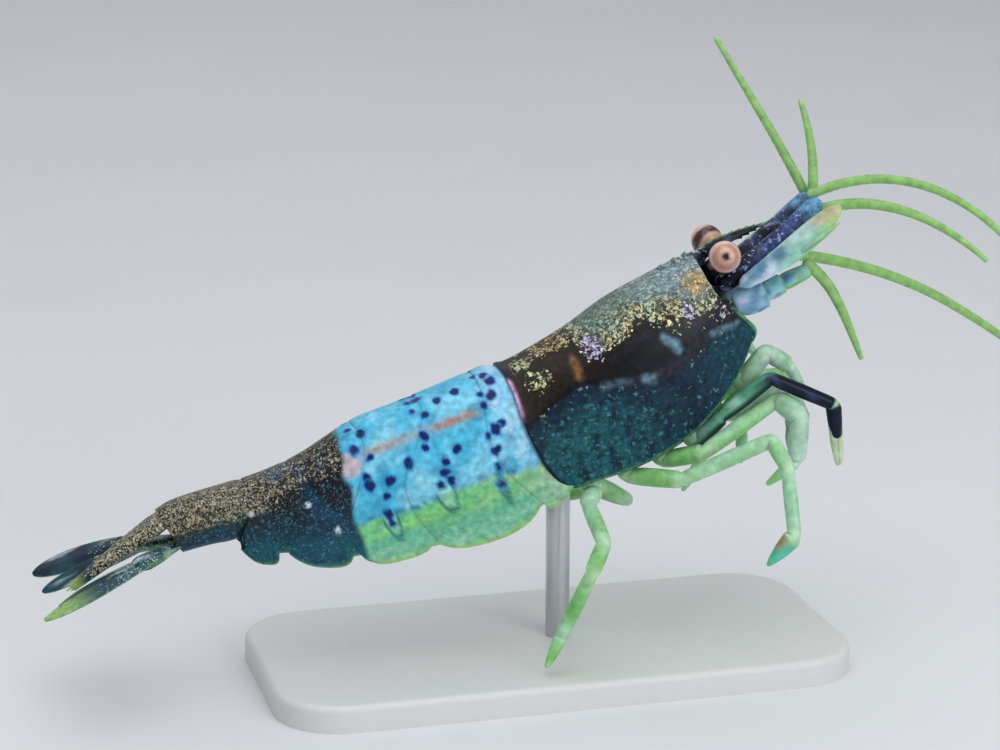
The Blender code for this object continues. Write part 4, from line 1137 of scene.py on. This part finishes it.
# root, headings and dips in degrees from root to tip, length, radius at the root
FEELERS = {
    "antennule_inner_R": ((13.3, 0.3, -0.02), (12, 45), (2, 24, 46, 64, 72), 9.2, 0.22),
    "antennule_outer_R": ((13.25, 0.72, -0.6), (24, 52), (7, 31, 48, 60), 6.4, 0.25),
    "antennule_inner_L": ((13.3, 0.28, -0.02), (35, 60), (-46, -55, -66), 3.4, 0.23),
    "antennule_outer_L": ((13.1, 0.84, -0.08), (90, 120), (-78, -76, -82), 6.6, 0.22),
    "antenna_feeler_R": ((11.64, 1.35, -2.18), (20, 50), (66, 86, 93, 93), 4.1, 0.26),
    "antenna_feeler_L": ((11.6, 1.35, -2.18), (15, 42), (35, 45, 54, 56, 52), 18.0, 0.26),
}


RINGS, RING_DIP, TIP_RADIUS, THINNER = 7, 0.05, 0.12, 0.86


def between(values, share):
    return float(np.interp(share, np.linspace(0, 1, len(values)), values))


def make_feeler(name):
    (x, y, z), headings, dips, length, radius = FEELERS[name]
    side = 1 if name.endswith("L") else -1
    steps = round(length * RINGS)
    points = [Vector((x, side * y, z))]
    for i in range(steps):
        share = (i + 0.5) / steps
        step = heading_vector(between(headings, share), between(dips, share), side)
        points.append(points[-1] + step * (length / steps))
    first = (points[0] - points[1]).normalized()
    points = [points[0] + first * 0.3] + points
    shares = [max(0, (i - 1) / steps) for i in range(steps + 2)]
    sizes = [radius + (TIP_RADIUS - radius) * share ** 1.5 for share in shares]
    sizes = [THINNER * r * (1 - RING_DIP * (i % 2)) for i, r in enumerate(sizes)]

    def paint(P, U, **rest):
        ground = Coat(P, (142, 184, 112)).over((160, 202, 150), soft(U, 0.1, 0.0))
        ground.over((152, 194, 126), soft(U, 0.6, 1.0) * 0.7)
        ground.over((106, 154, 82), 0.25 * (0.5 + 0.5 * np.sin(U * length * 18)))
        return [ground]

    clay = Clay()
    clay.bar(points, sizes)
    clay.finish(name, "limb_shell", LIMB, paint)


for name in FEELERS:
    make_feeler(name)
# %% [markdown]
# ## Legs
# Five pairs of walking legs hang below the breast, the first two with small claws. Each leg follows the
# same chain of joints as its solid. The tube pinches at each joint and is paler there, where the shell
# is thin and folds.
# %% Joints of the legs
LEG_ROOTS = ((6.15, 0.68), (4.8, 0.7), (3.45, 0.7), (2.1, 0.7), (0.75, 0.68))
LEG_LENGTHS = (
    (0.5, 1.1, 2.0, 1.1, 1.75),
    (0.6, 1.4, 2.3, 2.65, 2.4),
    (0.6, 1.6, 3.5, 1.15, 1.7, 1.35),
    (0.6, 2.1, 3.6, 1.2, 2.5, 1.45),
    (0.6, 1.0, 2.4, 1.2, 2.8, 1.2),
)
CLAW_RADII = (0.38, 0.33, 0.33, 0.44, 0.48)
SLIM_CLAW_RADII = (0.38, 0.34, 0.29, 0.26, 0.3)
WALKING_RADII = (0.38, 0.34, 0.29, 0.29, 0.26, 0.25)
ODD_RADII = {"leg_3_R": (0.38, 0.34, 0.3, 0.4, 0.36, 0.25), "leg_4_R": (0.38, 0.34, 0.29, 0.29, 0.26, 0.36)}
LEG_POSES = {
    "R": (
        ((-100, 49), (37, 19), (-19, 5), (79, 55), (151, 56)),
        ((64, 56), (19, -24), (11, -14), (12, 50), (-173, 72)),
        ((76, 43), (36, 5), (-7, -4), (70, 39), (180, 60), (-174, 13)),
        ((87, 42), (45, 15), (12, 1), (93, 51), (140, 58), (-166, 26)),
        ((100, 45), (122, -3), (100, 17), (153, 28), (-162, 42), (169, 34)),
    ),
    "L": (
        ((77, 46), (46, -21), (43, 2), (80, 44), (-157, 66)),
        ((41, 76), (-11, 12), (1, -21), (44, 30), (159, 72)),
        ((94, 42), (39, -2), (-6, 3), (101, 26), (-139, 59), (-125, 25)),
        ((87, 42), (45, 15), (14, 0), (95, 50), (142, 57), (-164, 25)),
        ((54, 58), (53, 54), (57, 47), (152, -40), (166, -18), (168, -12)),
    ),
}
MAXILLIPED = ((7.3, 0.52), (0.5, 1.5, 1.15, 0.95), (0.34, 0.36, 0.33, 0.24))
MAXILLIPED_POSES = {
    "R": ((39, 53), (14, -30), (-16, 58), (27, 81)),
    "L": ((20, 42), (55, -30), (60, 24), (10, 75)),
}


def leg_joints(x, y, lengths, pose, side):
    joints = [Vector((x, side * y, min(STERNUM(x - 0.25), STERNUM(x)) - 0.3))]
    for length, (heading, dip) in zip(lengths, pose):
        joints.append(joints[-1] + heading_vector(heading, dip, side) * length)
    joints[0] = joints[0] + Vector((0, 0, 0.3))
    return joints


print("the chains of", 2 * len(LEG_ROOTS), "walking legs and", len(MAXILLIPED_POSES), "mouth legs are known")
# %% [markdown]
# ## Colours of the legs
# The legs are milky green, paler at each joint. On the near side the outer half of the second one is
# almost black, with a pale ring and claw, and the fourth ends in teal and bright green. Some marks on
# these two follow the way each point faces: painted shade underneath and painted light on top. One
# function paints them all, and looks at a leg's number and side for what is special about it.
# %% Colours of the legs
def paint_leg(number, letter):
    def paint(P, N, U, part, **rest):
        up, finger, part = N[:, 2], part < 0, np.maximum(part, 0)
        ground = Coat(P, LEAF).over((160, 206, 172), cloud(P, 1.8, 90 + number, -0.4, 0.5) * 0.9)
        ground.over((104, 176, 100), cloud(P, 2.6, 95 + number, 0.2, 0.8) * 0.5)
        if number == 1 or number == 6:
            cloudy = 0.4 + 0.6 * cloud(P, 2.8, 97, -0.5, 0.5)
            ground.over((176, 204, 196), 0.8 * cloudy * np.maximum(soft(U, 0.25, 0.5), finger))
        if number == 3 and letter == "R":
            ground.over((178, 204, 194), 0.75 * soft(U, 0.5, 0.64) * soft(U, 0.9, 0.8))
        ground.over(MILK, part * 0.5)
        if number == 2 and letter == "R":
            teal = soft(U, 0.2, 0.28) * (1 - finger)
            ground.over((72, 146, 128), teal * 0.8)
            ground.over((160, 200, 184), teal * cloud(P, 3.4, 98, 0.1, 0.6) * 0.7)
            # The teal part is painted near-black where it faces down: painted shade on its underside.
            ground.over((8, 20, 38), teal * soft(up, 0.1, -0.3) * 0.95)
            night = soft(U, 0.48, 0.58) * (1 - finger)
            # The outer half is the leg's own near-black; where it faces up the black is left thin, a painted
            # highlight on top.
            ground.over((10, 20, 42), night * (1 - 0.85 * soft(up, 0.62, 0.86)))
            ground.over((70, 84, 130), night * cloud(P, 5.5, 99, 0.3, 0.8) * 0.6)
            ground.over((170, 204, 180), soft(np.abs(U - 0.752), 0.012, 0.004))
            ground.over((196, 210, 176), np.maximum(finger, soft(U, 0.95, 0.98)) * 0.85)
        if number == 4 and letter == "R":
            ground.over((92, 188, 164), soft(U, 0.8, 0.86))
            # The bright green tip starts a little sooner on upward faces, and the brown ring is painted only
            # on upward faces: painted light on the leg's upper side.
            ground.over((102, 184, 84), soft(U + 0.04 * up, 0.88, 0.96))
            ground.over((170, 120, 72), soft(np.abs(U - 0.84), 0.03, 0.01) * soft(up, 0.1, 0.7) * 0.8)
        return [ground]
    return paint


print("leg colours mixed")
# %% Legs
def make_leg(number, letter, side):
    name = "leg_%d_%s" % (number, letter)
    x, y = LEG_ROOTS[number - 1]
    joints = leg_joints(x, y, LEG_LENGTHS[number - 1], LEG_POSES[letter][number - 1], side)
    clay = Clay()
    if number > 2:
        limb(clay, joints, ODD_RADII.get(name, WALKING_RADII), 0.09)
    else:
        radii = CLAW_RADII if number == 1 else SLIM_CLAW_RADII
        wrist, tip = joints[-2], joints[-1]
        reach = tip - wrist
        limb(clay, joints[:-1] + [wrist + reach * 0.5], radii, radii[-1] * 0.75)
        spread = reach.normalized().cross(Vector((0, side, 0))).normalized()
        for sign in (1, -1):
            start = wrist + reach * 0.36 + spread * sign * radii[-1] * 0.38
            end = tip + spread * sign * 0.05
            bow = spread * sign * radii[-1] * (0.16 if number == 1 else 0.04)
            bends = ((0.3, 0.8), (0.55, 1.0), (0.8, 0.6))
            path = [start, *(start.lerp(end, share) + bow * bend for share, bend in bends), end]
            sizes = [radii[-1] * k for k in (0.5, 0.52, 0.48, 0.38, 0.22)]
            clay.tube(*finer(*rounded(path, sizes)), sides=12, part=-1.0)
    clay.finish(name, "limb_shell", LIMB, paint_leg(number, letter))


for letter, side in SIDES:
    for number in range(1, 6):
        make_leg(number, letter, side)
    (x, y), lengths, radii = MAXILLIPED
    clay = Clay()
    limb(clay, leg_joints(x, y, lengths, MAXILLIPED_POSES[letter], side), radii, 0.13)
    clay.finish("maxilliped_" + letter, "limb_shell", LIMB, paint_leg(6, letter))
# %% [markdown]
# ## Swimming legs
# Under each of the first five tail segments hangs a pair of paddles, each with two leaves on a short stem.
# On the animal they show as pale loops through the thin side flaps, and the flaps are painted so.
# %% Swimming legs
def paint_paddle(P, **rest):
    ground = Coat(P, (120, 196, 150)).over(MILK, cloud(P, 2.2, 99, -0.2, 0.6))
    return [ground]


def make_pleopod(i, letter, side):
    x = (SEAMS[i](0.9) - 0.3 + SEAMS[i + 1](0.9)) / 2 + 0.15
    edge = lobed(SEAMS[i](1.0) - 0.3, SEAMS[i + 1](1.0), LOBE_RISE[i])
    ceiling = flank(x, 0.8, edge, 0.92)[1] + 0.12
    depth = ceiling - 0.3 - EDGE(x) - 0.25
    room = HALF_WIDTH(x) * 0.92 - 0.45 - 0.12
    swing = 0.15 - 0.09 * i
    root = Vector((x, side * room * 0.54, ceiling - 0.05))
    knee = root + Vector((swing * 0.3, 0, -depth * 0.3 - 0.2))
    clay = Clay()
    stem_sizes = [room * 0.28, room * 0.34, room * 0.3]
    clay.bar([root, root.lerp(knee, 0.5), knee], stem_sizes, 16, flat=0.8, across=(0, 1, 0))
    for share, long in ((0.25, 0.9), (-0.25, 1.0)):
        offset = Vector((0, side * share * room, 0))
        tip = Vector((x, side * room * 0.54, ceiling - 0.3)) + offset
        tip = tip + Vector((swing * long, 0, -depth * long))
        start = knee + offset * 0.6 + Vector((0, 0, 0.12))
        widths = leaf_widths(20, room * 0.16, room * 0.25, room * 0.08)
        leaf(clay, straight_path(start, tip, 20), widths, 0.22, Vector((0, 1, 0)), 20)
    name = "pleopod_%d_%s" % (i + 1, letter)
    clay.finish(name, "limb_shell", LIMB, paint_paddle)


for i in range(5):
    make_pleopod(i, "L", 1)
    make_pleopod(i, "R", -1)
# %% [markdown]
# ## Tail fan
# The middle plate, the telson, tapers to a blunt tip with a few spines. On each side a stem carries two
# broad blades. They overlap like a hand of cards and open to brake or flick the animal backwards.
# %% Colours of the tail fan
def paint_telson(P, **rest):
    x = P[:, 0]
    ground = Coat(P, (34, 36, 34)).over((22, 56, 66), cloud(P, 2.4, 101, 0, 0.7))
    ground.over((150, 176, 96), soft(x, -17.0, -17.6))
    return ground, Coat(P, (206, 198, 170), 0.85 * soft(x, -17.3, -16.2))


def paint_blade(letter, outer):
    def paint(P, V, **rest):
        x = P[:, 0]
        edge = np.abs(np.cos(2 * pi * V))
        ground = Coat(P, (16, 60, 74)).over((14, 26, 50), cloud(P, 1.8, 111, -0.1, 0.7))
        streak = cloud(P * (0.35, 1.6, 1.6), 3.2, 121, 0.35, 0.8)
        if letter == "R":
            tip = soft(x, -16.6, -18.4) if outer else soft(x, -17.4, -18.3) * 0.6
            ground.over((150, 190, 112), tip)
        ground.over((170, 188, 196), streak * soft(x, -18.6, -17.6) * 0.85)
        ground.over((84, 140, 84), soft(edge, 0.9, 0.98) * 0.85)
        ground.amount = 1 - 0.12 * soft(x, -16.0, -18.0)
        return ground, Coat(P, SILVER, 0.35 * soft(x, -17.0, -15.5))
    return paint


print("tail fan colours mixed")
# %% Telson
clay = Clay()
start, end = Vector((-13.4, 0, 1.14)), Vector((-17.66, 0, 0.52))
path = straight_path(start, end, 48, Vector((0, 0, 0.04)))
shares = [(p.x + 14.05) / -3.61 for p in path]
sizes = [(0.68 - 0.38 * t) * min(1, 0.75 + 0.25 * (t + 0.18) / 0.2) for t in shares]
sizes[-4:] = [0.28, 0.24, 0.16, 0.0]
sizes[0] = 0.0


def boxy(angle):
    """Swells a round section towards a box."""
    return 1 / max(abs(cos(angle)) ** 2.6 + abs(sin(angle)) ** 2.6, 1e-6) ** 0.38


clay.tube(path, sizes, sides=36, flat=0.46, across=(0, 1, 0), bulge=boxy)
for y in (-0.16, 0.0, 0.16):
    root, tip = Vector((-17.35, y * 0.8, 0.56)), Vector((-17.9 + abs(y), y * 1.5, 0.5))
    clay.bar([root, root.lerp(tip, 0.5), tip], [0.06, 0.045, 0.02], 8)
for x in (-15.4, -16.2):
    for side in (1, -1):
        t = (x + 14.05) / -3.55
        root = Vector((x, side * (0.4 - 0.2 * t), 1.26 - 0.6 * t))
        thorn = [root, root + Vector((-0.15, 0, 0.07)), root + Vector((-0.3, 0, 0.13))]
        clay.bar(thorn, [0.07, 0.05, 0.02], 8)
clay.finish("telson", "dark_shell", FAN, paint_telson)
# %% Blades of the tail fan
# kind, root, tip and tilt on either side, bow, half widths at the root and at the widest, half thickness
BLADES = (
    (
        "inner", (-14.7, 0.74, 0.34), {"R": ((-18.35, 1.1, 0.5), 0.0), "L": ((-18.75, 1.2, 0.5), 0.3)},
        (0, 0, 0.06), (0.3, 0.5), 0.06,
    ),
    (
        "outer", (-14.7, 1.22, 0.38), {"R": ((-18.95, 1.95, 0.64), -0.04), "L": ((-18.8, 2.3, 0.9), 0.36)},
        (0, 0.14, 0.03), (0.34, 0.62), 0.07,
    ),
)
for letter, side in SIDES:
    clay = Clay()
    stem = on_side(side, (-13.6, 0.36, 0.1), (-14.1, 0.56, 0.2), (-14.5, 0.8, 0.28), (-14.95, 1.05, 0.38))
    clay.tube(*finer(*rounded(stem, [0.3, 0.42, 0.52, 0.58])), sides=20, flat=0.45, across=(0, 1, 0))
    clay.finish("tail_stem_" + letter, "dark_shell", FAN, paint_blade("L", False))
    for kind, root, tips, bow, (base, widest), thick in BLADES:
        tip, tilt = tips[letter]
        root, tip, bow = on_side(side, root, tip, bow)
        clay = Clay()
        widths = leaf_widths(44, base, widest, 0.0)
        leaf(clay, straight_path(root, tip, 44, bow), widths, thick, Vector((0, side, tilt)))
        clay.finish("tail_%s_%s" % (kind, letter), "dark_shell", FAN, paint_blade(letter, kind == "outer"))
# %% [markdown]
# ## Stand and floor
# The shrimp is shown swimming, so a small stand holds it: a pale satin plate and one steel rod. The plate's
# edges are rounded with two bevels, first the upright corners and then the rim.
# %% Satin finishes and round edges
def satin(name, levels, rough, metal, scale, relief):
    kit, colour = Finish(name), srgb(levels)
    place = kit.millimetres()
    grain = kit.noise(place, scale, 5.0)
    return kit.set(
        base_color=kit.mixed(grain, (*(colour * 0.94), 1), (*colour, 1)),
        roughness=grain * 0.15 + rough,
        metallic=metal,
        normal=kit.bump(grain, relief),
    )


def drop(edge):
    """How far an edge runs down from one of its ends to the other."""
    return abs(edge.verts[0].co.z - edge.verts[1].co.z)


def round_off(bm, edges, radius, steps):
    bmesh.ops.bevel(
        bm, geom=edges, offset=radius * MM, segments=steps, affect="EDGES", profile=0.5, material=-1,
    )


# %% Stand plate
low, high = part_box("stand_base")
bm = bmesh.new()
bmesh.ops.create_cube(bm, size=1)
bmesh.ops.scale(bm, vec=high - low, verts=bm.verts)
bmesh.ops.translate(bm, vec=(low + high) / 2, verts=bm.verts)
round_off(bm, [e for e in bm.edges if drop(e) > 0.5 * MM], 2.5, 16)
round_off(bm, [e for e in bm.edges if all(v.co.z > high.z - 1e-5 for v in e.verts)], 0.25, 4)
plate_paint = satin("pale_plate", (214, 216, 214), 0.45, 0.0, 3.0, 2e-6)
dress(mesh_of("stand_base_fine", bm), 40, plate_paint, "stand_plate", "stand_base")
# %% Stand rod and floor paint
low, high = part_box("stand_rod")
bm = bmesh.new()
radius, middle = (high.x - low.x) / 2, (low + high) / 2
depth = high.z - low.z + 0.6 * MM
bmesh.ops.create_cone(bm, cap_ends=True, segments=40, radius1=radius, radius2=radius, depth=depth)
bmesh.ops.translate(bm, vec=middle - Vector((0, 0, 0.1 * MM)), verts=bm.verts)
round_off(bm, [e for e in bm.edges if drop(e) < 1e-6], 0.08, 3)
steel = satin("brushed_steel", (196, 198, 202), 0.25, 1.0, 8.0, 1e-6)
dress(mesh_of("stand_rod_fine", bm), 40, steel, "stand_steel", "stand_rod")
floor.data.materials.append(satin("floor_paint", (222, 224, 226), 0.8, 0.0, 0.05, 1e-6))
